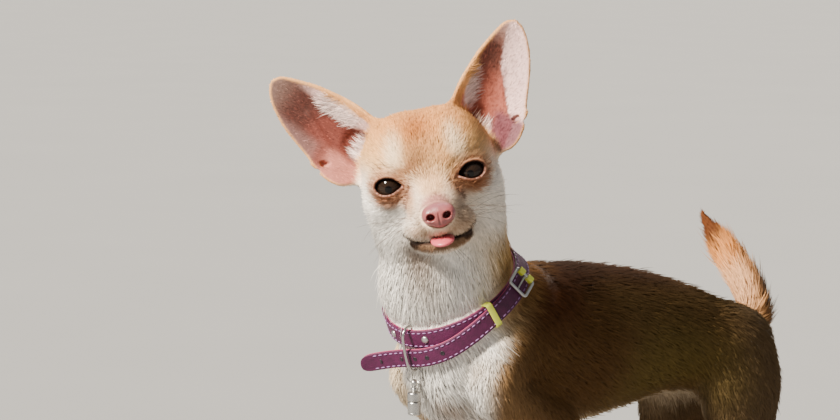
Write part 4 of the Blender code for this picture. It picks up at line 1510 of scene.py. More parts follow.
    def lips(self, local: Array, colours: Array) -> Array:
        """Colours with the whiskers' spots, the dark line of the lips and the chin under it."""
        x, y, z = local.T
        spots = ramp(np.sin(2.1 * y + z) * np.sin(2.6 * z - 0.7 * y), 0.3, 0.8)
        spots *= ramp(-y, 8, 13) * ramp(np.abs(x), 4, 7) * ramp(-np.abs(z + 22), -8.5, -5)
        colours = colours * (1 - 0.45 * spots[:, None] * np.array([0.8, 1.0, 1.1]))
        line = self.dog.smile(local)
        ahead = ramp(-y, 6.5, 10.0)
        chin = ramp(line, -6.5, -4.0) * ramp(-line, -0.4, 0.4) * ahead
        colours = tinted(colours, 0.9 * chin, (130, 98, 70))
        wide = 1.0 + 1.5 * ramp(np.abs(x), 9, 17)
        return tinted(colours, 0.92 * ramp(-np.abs(line + 0.6) / wide, -1.7, -0.7) * ahead, LIP)


# Materials


@dataclass(frozen=True)
class Finish:
    """A surface: its colour, its gloss, and the grain and mottling that keep it from being flat."""

    name: str
    colour: Triple = (128, 128, 128)
    second: Triple = (128, 128, 128)
    roughness: float = 0.5
    metallic: float = 0.0
    specular: float = 0.5
    coat: float = 0.0
    grain: float = 1.0
    bump: float = 0.1
    mottle: float = 6.0
    attribute: str = ""
    varnish_roughness: float = 0.08
    gloss_spread: float = 0.08
    tints: Tuple[float, float] = (0.8, 1.14)

    def material(self) -> bpy.types.Material:
        """The Blender material of the finish."""
        made = bpy.data.materials.new(self.name)
        made.use_nodes = True
        tree = made.node_tree
        shader = tree.nodes["Principled BSDF"]
        for name, value in (
            ("Metallic", self.metallic),
            ("Specular IOR Level", self.specular),
            ("Coat Weight", self.coat),
            ("Coat Roughness", self.varnish_roughness),
        ):
            shader.inputs[name].default_value = value
        cloud = self.noise(tree, self.mottle, 3.0)
        fine = self.noise(tree, self.grain, 2.0)
        mix = tree.nodes.new("ShaderNodeMix")
        mix.data_type = "RGBA"
        tree.links.new(cloud, mix.inputs["Factor"])
        if self.attribute:
            self.tint(tree, mix)
        else:
            mix.inputs["A"].default_value = (*linear(*self.colour), 1)
            mix.inputs["B"].default_value = (*linear(*self.second), 1)
        tree.links.new(mix.outputs["Result"], shader.inputs["Base Color"])
        self.gloss(tree, fine, shader)
        return made

    def noise(self, tree: bpy.types.NodeTree, size: float, detail: float) -> bpy.types.NodeSocket:
        """A noise over the piece's own coordinates, of a size in millimetres."""
        spots = tree.nodes.new("ShaderNodeTexCoord").outputs["Object"]
        node = tree.nodes.new("ShaderNodeTexNoise")
        node.inputs["Scale"].default_value = 1.0 / (size * MM)
        node.inputs["Detail"].default_value = detail
        tree.links.new(spots, node.inputs["Vector"])
        return node.outputs["Fac"]

    def tint(self, tree: bpy.types.NodeTree, mix: bpy.types.Node) -> None:
        """Runs the mottling between two strengths of the painted colour."""
        painted = tree.nodes.new("ShaderNodeAttribute")
        painted.attribute_name = self.attribute
        for socket, strength in zip("AB", self.tints):
            scaled = tree.nodes.new("ShaderNodeVectorMath")
            scaled.operation = "SCALE"
            scaled.inputs["Scale"].default_value = strength
            tree.links.new(painted.outputs["Color"], scaled.inputs[0])
            tree.links.new(scaled.outputs["Vector"], mix.inputs[socket])

    def gloss(
        self, tree: bpy.types.NodeTree, fine: bpy.types.NodeSocket, shader: bpy.types.Node
    ) -> None:
        """Varies the roughness with the grain and raises the grain as a bump."""
        spread = tree.nodes.new("ShaderNodeMapRange")
        spread.inputs["To Min"].default_value = max(self.roughness - self.gloss_spread, 0.0)
        spread.inputs["To Max"].default_value = min(self.roughness + self.gloss_spread, 1.0)
        tree.links.new(fine, spread.inputs["Value"])
        tree.links.new(spread.outputs["Result"], shader.inputs["Roughness"])
        bump = tree.nodes.new("ShaderNodeBump")
        bump.inputs["Strength"].default_value = self.bump
        bump.inputs["Distance"].default_value = self.grain * MM
        tree.links.new(fine, bump.inputs["Height"])
        tree.links.new(bump.outputs["Normal"], shader.inputs["Normal"])


# Made shapes


def lofted(rings: Array, closed: bool = False) -> Tuple[Array, Array]:
    """A skin over rings of points, one after another.

    Args:
        rings: Indexed by ring, by point round the ring, and by coordinate.
        closed: Whether the last ring meets the first one. Otherwise both ends are filled.

    Returns:
        The points and the triangles.
    """
    count, sides = rings.shape[:2]
    index = np.arange(count * sides).reshape(count, sides)
    start, follow = (index, np.roll(index, -1, 0)) if closed else (index[:-1], index[1:])
    beside, across = np.roll(follow, -1, 1), np.roll(start, -1, 1)
    faces = [np.stack([start, follow, beside], -1), np.stack([start, beside, across], -1)]
    faces = [found.reshape(-1, 3) for found in faces]
    points = rings.reshape(-1, 3)
    if not closed:
        points = np.vstack([points, rings[0].mean(axis=0), rings[-1].mean(axis=0)])
        for row, tip, turn in ((index[0], count * sides, 1), (index[-1], count * sides + 1, -1)):
            faces.append(np.stack([row, np.roll(row, -1), np.full(sides, tip)], -1)[:, ::turn])
    return points, np.vstack(faces)


def circle(sides: int) -> Array:
    """The corners of a regular outline of radius 1, in its own plane."""
    turns = np.linspace(0, 2 * math.pi, sides, endpoint=False)
    return np.stack([np.cos(turns), np.sin(turns)], axis=1)


def rounded_box(wide: float, high: float, corner: float, steps: int) -> Array:
    """The outline of a rectangle with rounded corners, given by its half-sizes."""
    quarters = [np.linspace(start, start + 90, steps + 1) for start in (0, 90, 180, 270)]
    turns = np.radians(np.concatenate(quarters))
    signs = np.repeat([(1, 1), (-1, 1), (-1, -1), (1, -1)], steps + 1, axis=0)
    arcs = np.stack([np.cos(turns), np.sin(turns)], axis=1)
    return signs * (wide - corner, high - corner) + corner * arcs


def turned_rings(axes: Axes, profile: Sequence[Tuple[float, float]], sides: int = 28) -> Array:
    """Rings about an axis.

    Args:
        axes: Whose up the rings stand round.
        profile: Their radii and heights.
        sides: How many points a ring has.

    Returns:
        The rings.
    """
    flat = np.concatenate([circle(sides), np.zeros((sides, 1))], axis=1)
    rows = ((max(radius, 0.02), height) for radius, height in profile)
    return np.array([axes.place(flat * radius + (0, 0, height)) for radius, height in rows])


def wire_rings(path: Array, radii: Sequence[float], sides: int = 10, closed: bool = False) -> Array:
    """Round rings along a path.

    Args:
        path: The points it runs through.
        radii: The wire's radius, for all of them or one each.
        sides: How many points a ring has.
        closed: Whether the path comes back to its start.

    Returns:
        The rings.
    """
    path = np.asarray(path, float)
    radii = np.broadcast_to(radii, len(path))
    ahead = np.roll(path, -1, 0) - np.roll(path, 1, 0) if closed else np.gradient(path, axis=0)
    side = np.cross(unit(ahead)[0], (0.3, 0.5, 0.81))
    rings = []
    for spot, along, radius in zip(path, unit(ahead), radii):
        side = unit(side - (side @ along) * along)
        rise = np.cross(along, side)
        rings.append(spot + radius * (circle(sides) @ np.stack([side, rise])))
    return np.array(rings)


class Shape:
    """A mesh in the making: points in millimetres, triangles, and the number of each one's finish."""

    def __init__(self) -> None:
        """Starts with nothing."""
        self.points: List[Array] = []
        self.faces: List[Array] = []
        self.finishes: List[Array] = []
        self.count = 0

    def add(self, points: Array, faces: Array, finish: int = 0) -> None:
        """Adds points and the triangles between them."""
        self.points.append(points)
        self.faces.append(faces + self.count)
        self.finishes.append(np.full(len(faces), finish))
        self.count += len(points)

    def loft(self, rings: Array, closed: bool = False, finish: int = 0) -> "Shape":
        """Adds a skin over rings, and gives the shape back."""
        self.add(*lofted(rings, closed), finish)
        return self

    def piece(
        self, name: str, finishes: Sequence[bpy.types.Material], slot: str, node: str = "",
        sharp: float = 60.0,
    ) -> None:
        """Puts the shape in the scene.

        Args:
            name: The piece's name.
            finishes: Its materials, in the order of its faces' numbers.
            slot: A slot name for its finish, handed on to place().
            node: The solid that it stands for, where there is one.
            sharp: Edges sharper than this many degrees stay sharp.
        """
        place(name, self.mesh(name, sharp), finishes, slot, (node,) if node else ())

    def mesh(self, name: str, sharp: float) -> bpy.types.Mesh:
        """The finished mesh, smooth except over edges sharper than an angle in degrees."""
        made = make_mesh(name, np.vstack(self.points), np.vstack(self.faces))
        made.polygons.foreach_set("material_index", np.concatenate(self.finishes).astype(np.int32))
        work = bmesh.new()
        work.from_mesh(made)
        bmesh.ops.recalc_face_normals(work, faces=work.faces)
        work.to_mesh(made)
        work.free()
        made.set_sharp_from_angle(angle=math.radians(sharp))
        return made


# Eyes, nose, tongue, claws and whiskers


@dataclass
class Eye:
    """A wet dark eye: its pupil, iris, limbus and white, with its front raised."""

    side: Side
    pupil: float = 1.9
    iris: float = 7.3
    bulge: float = 0.75
    rise: float = 6.0
    sides: int = 72

    def build(self) -> None:
        """Makes the eyeball round its gaze and puts it in the socket."""
        axes = eye_axes(self.side).inside((0, 0, 0), nod=90 + self.rise)
        turns = np.concatenate([np.linspace(0.004, 0.95, 46), np.linspace(1.0, math.pi - 0.01, 28)])
        radius = POSE.eyeball_radius - 0.02
        profile = []
        for turn in turns:
            reach = radius * math.sin(turn)
            raised = self.bulge * float(1 - ramp(np.array(reach), 0.0, self.iris))
            profile.append((reach, (radius + raised) * math.cos(turn)))
        shape = Shape().loft(turned_rings(axes, profile, self.sides))
        mesh = shape.mesh("eye", 80)
        paint(mesh, PAINTED, self.colours(np.vstack(shape.points), axes))
        finish = Finish(
            "wet_eye", roughness=0.08, specular=0.26, grain=0.6, bump=0.0, mottle=0.5,
            attribute=PAINTED,
        )
        node = "eye_" + self.side.hand
        place(node + "_wet", mesh, [finish.material()], "eye", (node,))

    def colours(self, points: Array, axes: Axes) -> Array:
        """The colour of each point by how far it is from the middle of the gaze."""
        local = axes.locate(points)
        away = np.where(local[:, 2] > 0, np.hypot(local[:, 0], local[:, 1]), 20.0)
        turn = np.arctan2(local[:, 1], local[:, 0])
        rays = 0.5 + 0.28 * np.sin(17 * turn + 1.3) + 0.22 * np.sin(41 * turn)
        brown = np.array(linear(24, 15, 10)) + rays[:, None] * np.array(linear(30, 21, 13))
        found = np.ones((len(points), 3)) * linear(7, 5, 5)
        found += ramp(away, self.pupil - 0.25, self.pupil + 0.35)[:, None] * (brown - found)
        for start, end, colour in (
            (-1.5, -0.2, (22, 14, 10)),
            (-0.1, 0.9, (186, 164, 148)),
            (2.0, 4.0, (150, 96, 84)),
        ):
            found = tinted(found, ramp(away, self.iris + start, self.iris + end), colour)
        return found


@dataclass
class Snout:
    """The nose pad with its nostrils, the tongue's tip and the whiskers."""

    dog: Dog
    voxel: float = 0.32
    pebbles: float = 5.2
    pebble_height: float = 0.05
    whisker_seed: int = 11

    def build(self) -> None:
        """Makes the nose, the tongue and the whiskers."""
        nose, tongue = self.dog.nose_at, self.dog.tongue_at
        self.grown("nose_pad", self.leather, nose, 12, "nose_leather", "nose", self.nose_colours)
        licked = self.dog.tongue
        self.grown("tongue_tip", licked, tongue, 11, "tongue_skin", "tongue", self.tongue_colours)
        self.whiskers()

    def leather(self, local: Array) -> Array:
        """The nose pad's field, with the fine pebbling of its leather."""
        x, y, z = (local * self.pebbles).T
        swirl = np.sin(x + 1.7 * np.sin(0.6 * z)) * np.sin(z + 1.3 * np.sin(0.7 * x)) * np.sin(y)
        return nose_pad(local, self.dog.nose_at, nostrils=True) + self.pebble_height * swirl

    def grown(
        self, name: str, shape: Field, at: Triple, reach: float, slot: str, node: str,
        colours: Field,
    ) -> None:
        """A moist piece from its field, in the place of its solid.

        Args:
            name: The piece's name.
            shape: Its field in the head's axes.
            at: The middle of it.
            reach: How far out the field is searched.
            slot: A slot name for its finish, handed on to place().
            node: The solid that it stands for.
            colours: Gives the colour at points.
        """

        def field(points: Array) -> Array:
            """The field among the solids."""
            return shape(HEAD.locate(points))

        middle = HEAD.place(at)
        points, quads = polygonised(field, middle - reach, middle + reach, self.voxel)
        points = settled(field, points)
        mesh = make_mesh(name, points, quads)
        paint(mesh, PAINTED, colours(HEAD.locate(points)))
        finish = Finish(
            name + "_moist", roughness=0.36, coat=0.25, grain=0.5, bump=0.3, mottle=1.6,
            attribute=PAINTED,
        )
        place(name, mesh, [finish.material()], slot, (node,))

    def nose_colours(self, local: Array) -> Array:
        """Liver pink, paler on top, with painted shade inside the nostrils and down the groove in the
        middle.
        """
        x, y, z = self.dog.nose_at
        found = np.ones((len(local), 3)) * linear(146, 76, 76)
        found = tinted(found, 0.6 * ramp(local[:, 2], z + 1.5, z + 5.5), (140, 92, 102))
        for side in (1, -1):
            # Painted shade inside the nostrils
            hole = (local - (x + side * 4.3, y - 4.0, z - 0.9)) / (2.0, 3.6, 1.6)
            dark = 1 - ramp(np.linalg.norm(hole, axis=1), 0.75, 1.35)
            found = tinted(found, 0.9 * dark, (94, 34, 34))
        # Painted shade down the groove in the middle
        middle = (1 - ramp(np.abs(local[:, 0] - x), 0.2, 0.9)) * ramp(-local[:, 2], -z - 1, -z + 3)
        return tinted(found, 0.5 * middle, (120, 62, 58))

    def tongue_colours(self, local: Array) -> Array:
        """Pink, darker towards the mouth: painted shade where it goes in."""
        found = np.ones((len(local), 3)) * linear(206, 84, 96)
        # Painted shade towards the mouth
        deep = ramp(local[:, 1] - self.dog.tongue_at[1], -4, 4)
        return tinted(found, 0.6 * deep, (120, 40, 48))

    def whiskers(self) -> None:
        """Thin curved whiskers on the lips, over the eyes, on the cheeks and under the chin."""
        chance = np.random.default_rng(self.whisker_seed)
        shape = Shape()
        for side, y, z, length, rise in self.whisker_rows():
            x = 30.0 if z > -25 else 14.0
            start = self.surface(np.array([side * x, y, z]), np.array([-side, 0, 0.1 * rise]))
            ahead, spread = -0.15 + 0.25 * chance.random(), 0.3 * chance.normal()
            out = unit(np.array([side * 1.0, ahead, rise + spread]))
            if rise > 0.5:
                out = unit(np.array([side * 0.5, -0.5, 1.0]))
            share = np.linspace(0, 1, 8)[:, None]
            droop = np.array([0, 0.35, -0.3]) * length * share**2
            path = start + (share * length - 0.6) * out * (0.85 + 0.3 * chance.random()) + droop
            radii = 0.09 * (1 - share[:, 0]) ** 0.6 + 0.02
            shape.loft(wire_rings(HEAD.place(path), radii, 4))
        finish = Finish("whisker_hair", (62, 46, 38), (110, 90, 76), roughness=0.4)
        shape.piece("whiskers", [finish.material()], "coat", sharp=50)

    def whisker_rows(self) -> List[Row]:
        """Each whisker's side, how far back and up it grows, its length and its rise."""
        sides, three = (1, -1), range(3)
        rows = [
            (side, -8 - 3.4 * k, -17 - 3.0 * line, 24 - 2.0 * k, 0.05)
            for side in sides for line in three for k in three
        ]
        rows += [(side, -4 - 1.5 * k, 9 + 1.2 * k, 13, 0.9) for side in sides for k in three]
        rows += [(side, 6, -17, 15, 0.0) for side in sides]
        return rows + [(side, -16 - 2 * k, -37, 9, -1.1) for side in sides for k in three]

    def surface(self, start: Array, way: Array) -> Array:
        """The first point on the skin along a line in the head's axes."""
        steps = np.linspace(0, 32, 160)[:, None]
        line = start + steps * unit(way)
        inside = self.dog.outer(HEAD.place(line)) < 0.4
        return line[inside.argmax()]


@dataclass
class Claws:
    """Hooked dark claws at the ends of the toes."""

    dog: Dog
    sides: int = 12
    # How far back and up a claw runs from its root, and its radius
    hook = [
        (0.6, 0.1, 1.3),
        (-1.6, 0.0, 1.28),
        (-3.2, -0.6, 1.1),
        (-4.8, -1.7, 0.72),
        (-5.9, -2.9, 0.22),
    ]

    def build(self) -> None:
        """Makes every claw in the place of its solid."""
        finish = Finish(
            "dark_horn", (86, 66, 54), (52, 40, 34), roughness=0.34, coat=0.2, grain=0.35,
            bump=0.25, mottle=2.0,
        ).material()
        for leg in self.dog.legs:
            for number, seat in enumerate(leg.claw_seats(), 1):
                name = leg.kind.replace("leg", "claw_") + leg.side.hand + "_" + str(number)
                Shape().loft(self.rings(seat)).piece(name + "_horn", [finish], "horn", name, 70)

    def rings(self, seat: Axes) -> Array:
        """Rings of a claw, hooked forward and down from its root, flatter underneath."""
        rows = smooth_path(self.hook, 4)
        around = circle(self.sides) * (0.78, 1.0)
        around[:, 1] = np.where(around[:, 1] < 0, around[:, 1] * 0.8, around[:, 1])
        found = []
        for y, z, radius in rows:
            nose_down = 0.35 * max(0.0, -y - 2.0) / 4.0
            flat = np.stack([around[:, 0], nose_down * around[:, 1], around[:, 1]], axis=1)
            found.append(seat.place((0, y, z) + radius * flat))
        return np.array(found)


# The collar


class Hoop:
    """Where the collar lies on the coat of the neck. Angles run from the front round to the left."""

    centre = (-4, -58.6, 189.2)
    turn = 9.5
    nod = 31.7
    # How far above and below its middle the coat is felt, how far out, and by how many harmonics
    felt = 4.0
    widest = 60.0
    waves = 5

    def __init__(self, dog: Dog) -> None:
        """Feels for the coat a little above and below the strap's middle."""
        self.axes = FORE.inside(self.centre, turn=self.turn, nod=self.nod)
        self.reach = [self.measured(dog, height) for height in (-self.felt, self.felt)]

    def measured(self, dog: Dog, height: float) -> Array:
        """Smooth harmonics of the distance from the middle to the coat."""
        turns = np.radians(np.arange(0, 360, 5))[:, None]
        steps = np.arange(16.0, 70.0, 0.75)
        shape = (len(turns), len(steps))
        left, back = np.sin(turns) * steps, -np.cos(turns) * steps
        rays = np.stack([left, back, np.full(shape, height)], axis=-1)
        values = dog.outer(self.axes.place(rays).reshape(-1, 3)).reshape(shape)
        outside = (values > 0).argmax(axis=1)
        rows = np.arange(len(turns))
        inner, outer = values[rows, outside - 1], values[rows, outside]
        found = steps[outside - 1] - 0.75 * inner / (outer - inner)
        return (np.fft.rfft(found) / len(turns))[: self.waves]

    def height(self, points: Array) -> Array:
        """How far points stand above the strap's middle, or FAR where they are off the neck."""
        local = self.axes.locate(points)
        return np.where(np.hypot(local[:, 0], local[:, 1]) < self.widest, local[:, 2], FAR)

    def point(self, angle: float, height: float) -> Array:
        """A point on the coat."""
        turn = math.radians(angle)
        reach = []
        for waves in self.reach:
            sway = sum(2 * (wave * np.exp(1j * n * turn)).real for n, wave in enumerate(waves) if n)
            reach.append(waves[0].real + sway)
        radius = reach[0] + (reach[1] - reach[0]) * (height + self.felt) / (2 * self.felt)
        return self.axes.place((math.sin(turn) * radius, -math.cos(turn) * radius, height))

    def seat(self, angle: float, height: float = 0.0, out: float = 0.0) -> Axes:
        """Axes on the coat there: left along the strap, back into the neck, up its face."""
        here = self.point(angle, height)
        along = unit(self.point(angle + 1, height) - self.point(angle - 1, height))
        rise = self.point(angle, height + 1) - self.point(angle, height - 1)
        outward = unit(np.cross(along, rise))
        matrix = np.stack([along, -outward, np.cross(outward, along)], axis=1)
        return Axes(here + out * outward, matrix)


@dataclass
class Strap:
    """A strap of purple leather over a pink lining, with two rows of pale stitches."""

    name: str
    node: str
    seats: List[Axes]
    closed: bool = False
    height: float = 10.0
    leather: float = 1.35
    lining: float = 0.55
    stitch: float = 2.3
    pitch: float = 3.3
    margin: float = 3.75
    edge: float = 0.45
    dimple: float = 0.12
    lip: float = 0.22
    # Where the free tip's rounding starts and its radius, counted in seats from the tip
    tip_seats: float = 7.3
    tip_radius: float = 7.45
    unsewn: float = 7.5
    holes: Sequence[float] = ()
    threads: Sequence[float] = (0.1, 0.3, 0.34, 0.3, 0.1)
    # Radii and heights of an eyelet
    rim = [
        (1.25, -0.2), (1.25, 0.05), (1.1, 0.16), (0.9, 0.16),
        (0.75, 0.04), (0.4, 0.02), (0.02, 0.02),
    ]

    def build(self, finishes: Dict[str, bpy.types.Material]) -> None:
        """Makes the two layers, the stitches and the eyelets.

        Args:
            finishes: The collar's materials by name.
        """
        thick = self.leather + self.lining
        outer = self.layer(-thick / 2 + self.leather / 2, self.leather, 0.0, self.dimple)
        inner = self.layer(thick / 2 - self.lining / 2, self.lining, self.lip, 0.0)
        shape = Shape().loft(outer, self.closed, 0).loft(inner, self.closed, 1)
        parts = [finishes["leather"], finishes["lining"]]
        shape.piece(self.name, parts, "strap", self.node)
        threads = Shape()
        for height in (-self.margin, self.margin):
            self.sew(threads, height, -thick / 2)
        threads.piece(self.name + "_stitches", [finishes["thread"]], "strap", sharp=80)
        if self.holes:
            self.punch(finishes["eyelet"], -thick / 2)

    def layer(self, depth: float, thick: float, wider: float, dip: float) -> Array:
        """Rings of one layer of the strap.

        Args:
            depth: How far into the neck its middle is.
            thick: Its thickness.
            wider: How far it stands out past the strap's edges.
            dip: How deep the stitches pull its face in.

        Returns:
            The rings.
        """
        corner = min(self.edge, thick / 2 - 0.02)
        section = rounded_box(self.height / 2 + wider, thick / 2, corner, 3)
        fine = []
        for start, end in zip(section, np.roll(section, -1, axis=0)):
            steps = 14 if abs(start[0] - end[0]) > 5 else 1
            fine += [start + (end - start) * k / steps for k in range(steps)]
        fine = np.array(fine)
        pulled = np.exp(-(((np.abs(fine[:, 0]) - self.margin) / 0.55) ** 2)) * (fine[:, 1] < 0)
        fine[:, 1] += dip * pulled
        found = []
        for number, seat in enumerate(self.seats):
            narrow = self.narrowing(number)
            flat = np.stack([np.zeros(len(fine)), fine[:, 1] + depth, fine[:, 0] * narrow], axis=1)
            found.append(seat.place(flat))
        return np.array(found)

    def narrowing(self, number: int) -> float:
        """The share of its width that the strap has at a seat, for its rounded tip."""
        left = len(self.seats) - 1 - number
        if self.closed or left > self.tip_seats:
            return 1.0
        return math.sqrt(1.0 - ((self.tip_seats - left) / self.tip_radius) ** 2)

    def sew(self, threads: Shape, height: float, face: float) -> None:
        """Stitches along the strap at a height on its face."""
        row = np.array([seat.place((0, face - 0.02, height)) for seat in self.seats])
        if self.closed:
            row = np.vstack([row, row[:1]])
        far = np.concatenate([[0.0], np.cumsum(np.linalg.norm(np.diff(row, axis=0), axis=1))])
        last = far[-1] if self.closed else far[-1] - self.unsewn
        count = int(last / self.pitch)
        for number in range(count):
            middle = (number + 0.5) * last / count
            spots = middle + np.linspace(-0.5, 0.5, 5) * self.stitch
            path = np.stack([np.interp(spots, far, row[:, axis]) for axis in range(3)], axis=1)
            threads.loft(wire_rings(path, self.threads, 6))

    def punch(self, metal: bpy.types.Material, face: float) -> None:
        """Dark eyelets at shares of the strap's length."""
        shape = Shape()
        for share in self.holes:
            spot = share * (len(self.seats) - 1)
            seat = self.seats[int(spot)]
            onward = self.seats[int(spot) + 1].origin - seat.origin
            axes = Axes(seat.origin + onward * (spot % 1), seat.matrix).inside((0, face, 0), nod=90)
            shape.loft(turned_rings(axes, self.rim, 20))
        shape.piece(self.name + "_eyelets", [metal], "strap", sharp=70)


@dataclass
class Collar:
    """The strap and all that hangs on it."""

    hoop: Hoop
    band_out: float = 0.4
    buckle_at: float = 118.0
    keeper_at: float = 84.0
    dee_at: float = 3.0
    dee_wire: float = 0.8
    ring_radius: float = 4.2
    ring_wire: float = 0.27
    ring_end: float = 0.1
    tag_turn: float = 50.0
    rivets_at: Tuple[float, float] = (20.0, -21.0)
    holes: Sequence[float] = (0.52, 0.605, 0.69, 0.775, 0.86)
    # The free end's way round the band: angle, height and how far out
    free_way = [
        (122, 0, 2.7), (104, -0.5, 2.7), (84, -1.5, 2.7), (62, -4, 2.9),
        (40, -7, 3.4), (20, -8.8, 3.9), (4, -9.6, 4.3),
    ]
    # How far past the last of those its seats stand, how it bends away there and how it falls
    onward = (2, 4, 6, 8, 10, 12.5, 15, 17.5, 20, 22, 23.5, 25, 26.2, 27.3, 28.3, 29.1, 29.7, 30.1)
    bend, fall = 0.009, 0.13
    # Each loop's opening from corner to corner, its wall and half its length
    keeper_loop = (-4.1, -6.9), (0.9, 5.4), 0.9, 1.8
    buckle_loop = (-5.4, -5.2), (5.4, 5.2), 1.6, 0.75
    fold_loop = (-1.0, -1.1), (1.0, 1.1), 0.9, 1.75
    pin_path = [(-5.2, -0.5, 0), (-2.5, 0.1, 0), (2.5, 0.1, 0), (5.2, -0.1, 0)]
    # Radii and heights of a rivet's dome
    dome = [
        (1.5, -0.5), (2.0, -0.05), (2.05, 0.2), (1.85, 0.55),
        (1.45, 0.85), (0.9, 1.05), (0.3, 1.12), (0.02, 1.13),
    ]
    # Where the D-ring's wire turns, out from the neck and up
    dee_corners = [
        (-1.7, 6.0), (2.2, 7.2), (5.7, 4.6), (7.0, -1.0), (7.4, -8.0), (6.8, -14.8),
        (3.6, -17.7), (-0.6, -17.0), (-1.8, -12.0), (-1.9, -4.0), (-1.8, 2.0),
    ]
    # Radii and heights of the tag's turned stretches, and of the ends of its knurled ones
    cap_top = [
        (1.1, -1.75), (1.25, -2.1), (1.2, -2.35), (1.6, -2.6), (1.95, -3.0), (2.0, -3.45),
        (1.9, -3.9), (1.55, -4.35), (1.4, -4.6), (2.4, -4.85), (3.35, -5.1), (3.65, -5.45),
        (3.72, -5.8),
    ]
    cap_grip = (3.66, -5.75), (3.66, -9.35)
    cap_foot = [(3.5, -9.2), (3.7, -9.4), (3.68, -9.65), (3.4, -9.9), (1.0, -9.95)]
    body_top = [(1.0, -10.2), (3.2, -10.2), (3.5, -10.45), (3.62, -10.8), (3.5, -11.0)]
    body_grip = (3.58, -10.9), (3.58, -16.3)
    body_foot = [
        (3.5, -16.2), (3.65, -16.4), (3.6, -16.8), (3.35, -17.3),
        (2.6, -17.65), (1.4, -17.78), (0.02, -17.8),
    ]

    def finishes(self) -> Dict[str, bpy.types.Material]:
        """The collar's materials by name."""
        steel = dict(colour=(208, 206, 202), second=(172, 170, 168), metallic=1.0, grain=0.3)
        kept = {
            "leather": Finish(
                "purple_leather", (86, 18, 64), (48, 8, 38), specular=0.4, grain=0.55, bump=0.55,
                mottle=3.5,
            ),
            "lining": Finish(
                "pink_lining", (178, 62, 108), (140, 42, 84), roughness=0.6, grain=0.4, bump=0.4,
            ),
            "thread": Finish(
                "pale_thread", (164, 120, 172), (130, 92, 140), roughness=0.6, grain=0.3, bump=0.5,
                mottle=1.0,
            ),
            "eyelet": Finish("dark_eyelet", (18, 12, 18), (30, 22, 30), roughness=0.45),
            "buckle": Finish("worn_buckle", roughness=0.34, bump=0.12, mottle=3.0, **steel),
            "ring": Finish("polished_wire", roughness=0.2, bump=0.05, mottle=4.0, **steel),
            "tag": Finish("turned_tag", roughness=0.28, bump=0.12, mottle=2.0, **steel),
            "lime": Finish(
                "lime_plastic", (200, 206, 74), (184, 190, 58), roughness=0.36, grain=0.8,
                bump=0.08, mottle=4.0,
            ),
        }
        return {name: finish.material() for name, finish in kept.items()}

    def build(self) -> None:
        """Makes the collar from the neck outwards."""
        finishes = self.finishes()
        band = [self.hoop.seat(angle, 0, self.band_out) for angle in np.arange(0, 360, 2.5)]
        Strap("collar_band_strap", "collar_band", band, closed=True).build(finishes)
        free = Strap("collar_free_strap", "collar_free_end", self.free_end(), holes=self.holes)
        free.build(finishes)
        self.keeper(finishes["lime"])
        self.buckle(finishes["buckle"], finishes["lime"])
        self.rivets(finishes["buckle"])
        wire = self.dee(finishes["ring"])
        hanging = self.split_ring(wire[wire[:, 2].argmin()], finishes["ring"])
        self.tag(hanging, finishes["tag"])

    def free_end(self) -> List[Axes]:
        """Seats of the free end: round over the band, down through the D-ring, then off straight."""
        seats = [self.hoop.seat(*row) for row in smooth_path(self.free_way, 8)]
        last = seats[-1]
        for away in self.onward:
            spot = last.place((-away, -self.bend * away**2, -self.fall * away))
            seats.append(Axes(spot, last.matrix))
        return seats

    def loop(self, axes: Axes, low: Row, high: Row, wall: float, half: float) -> Array:
        """Rings of a flat loop round an opening.

        Args:
            axes: Its own axes; the loop lies in their (back, up) plane.
            low: The opening's first corner.
            high: Its last corner.
            wall: How thick the loop is round it.
            half: Half of its length to the left and right.

        Returns:
            The rings, which close on themselves.
        """
        low, high = np.array(low, float), np.array(high, float)
        middle, size = (low + high) / 2, (high - low) / 2 + wall / 2
        path = rounded_box(size[0], size[1], wall / 2 + 0.7, 5)
        ahead = np.roll(path, -1, 0) - np.roll(path, 1, 0)
        normal = unit(ahead[:, ::-1] * (1, -1))
        section = rounded_box(half, wall / 2, min(half, wall / 2) * 0.7, 3)
        found = []
        for spot, out in zip(path + middle, normal):
            flat = np.column_stack([section[:, 0], spot + section[:, 1:] * out])
            found.append(axes.place(flat))
        return np.array(found)

    def keeper(self, lime: bpy.types.Material) -> None:
        """The lime loop that holds the free end to the band."""
        rings = self.loop(self.hoop.seat(self.keeper_at), *self.keeper_loop)
        Shape().loft(rings, True).piece("keeper_loop", [lime], "keeper_plastic", "keeper")

    def buckle(self, metal: bpy.types.Material, lime: bpy.types.Material) -> None:
        """The buckle's rounded frame, its pin, and the two lime folds round its back bar."""
        seat = self.hoop.seat(self.buckle_at, 0, 4.5)
        rings = self.loop(seat.inside((0, 0, 0), turn=90), *self.buckle_loop)
        Shape().loft(rings, True).piece("buckle_rim", [metal], "buckle_metal", "buckle_frame")
        path = smooth_path(self.pin_path, 5)
        pin = wire_rings(seat.place(path), np.linspace(0.42, 0.62, len(path)), 12)
        Shape().loft(pin).piece("buckle_tongue", [metal], "buckle_metal", "buckle_pin")
        for name, height in (("buckle_fold_upper", 3.1), ("buckle_fold_lower", -3.1)):
            bar = seat.inside((6.2, 0, height), tilt=90)
            fold = Shape().loft(self.loop(bar, *self.fold_loop), True)
            fold.piece(name + "_lime", [lime], "keeper_plastic", name)

    def rivets(self, metal: bpy.types.Material) -> None:
        """Two domed studs through the band."""
        for side, angle in zip(Side, self.rivets_at):
            seat = self.hoop.seat(angle, 0, self.band_out + 0.95).inside((0, 0, 0), nod=90)
            stud = Shape().loft(turned_rings(seat, self.dome))
            stud.piece("rivet_dome_" + side.hand, [metal], "buckle_metal", "rivet_" + side.hand, 70)

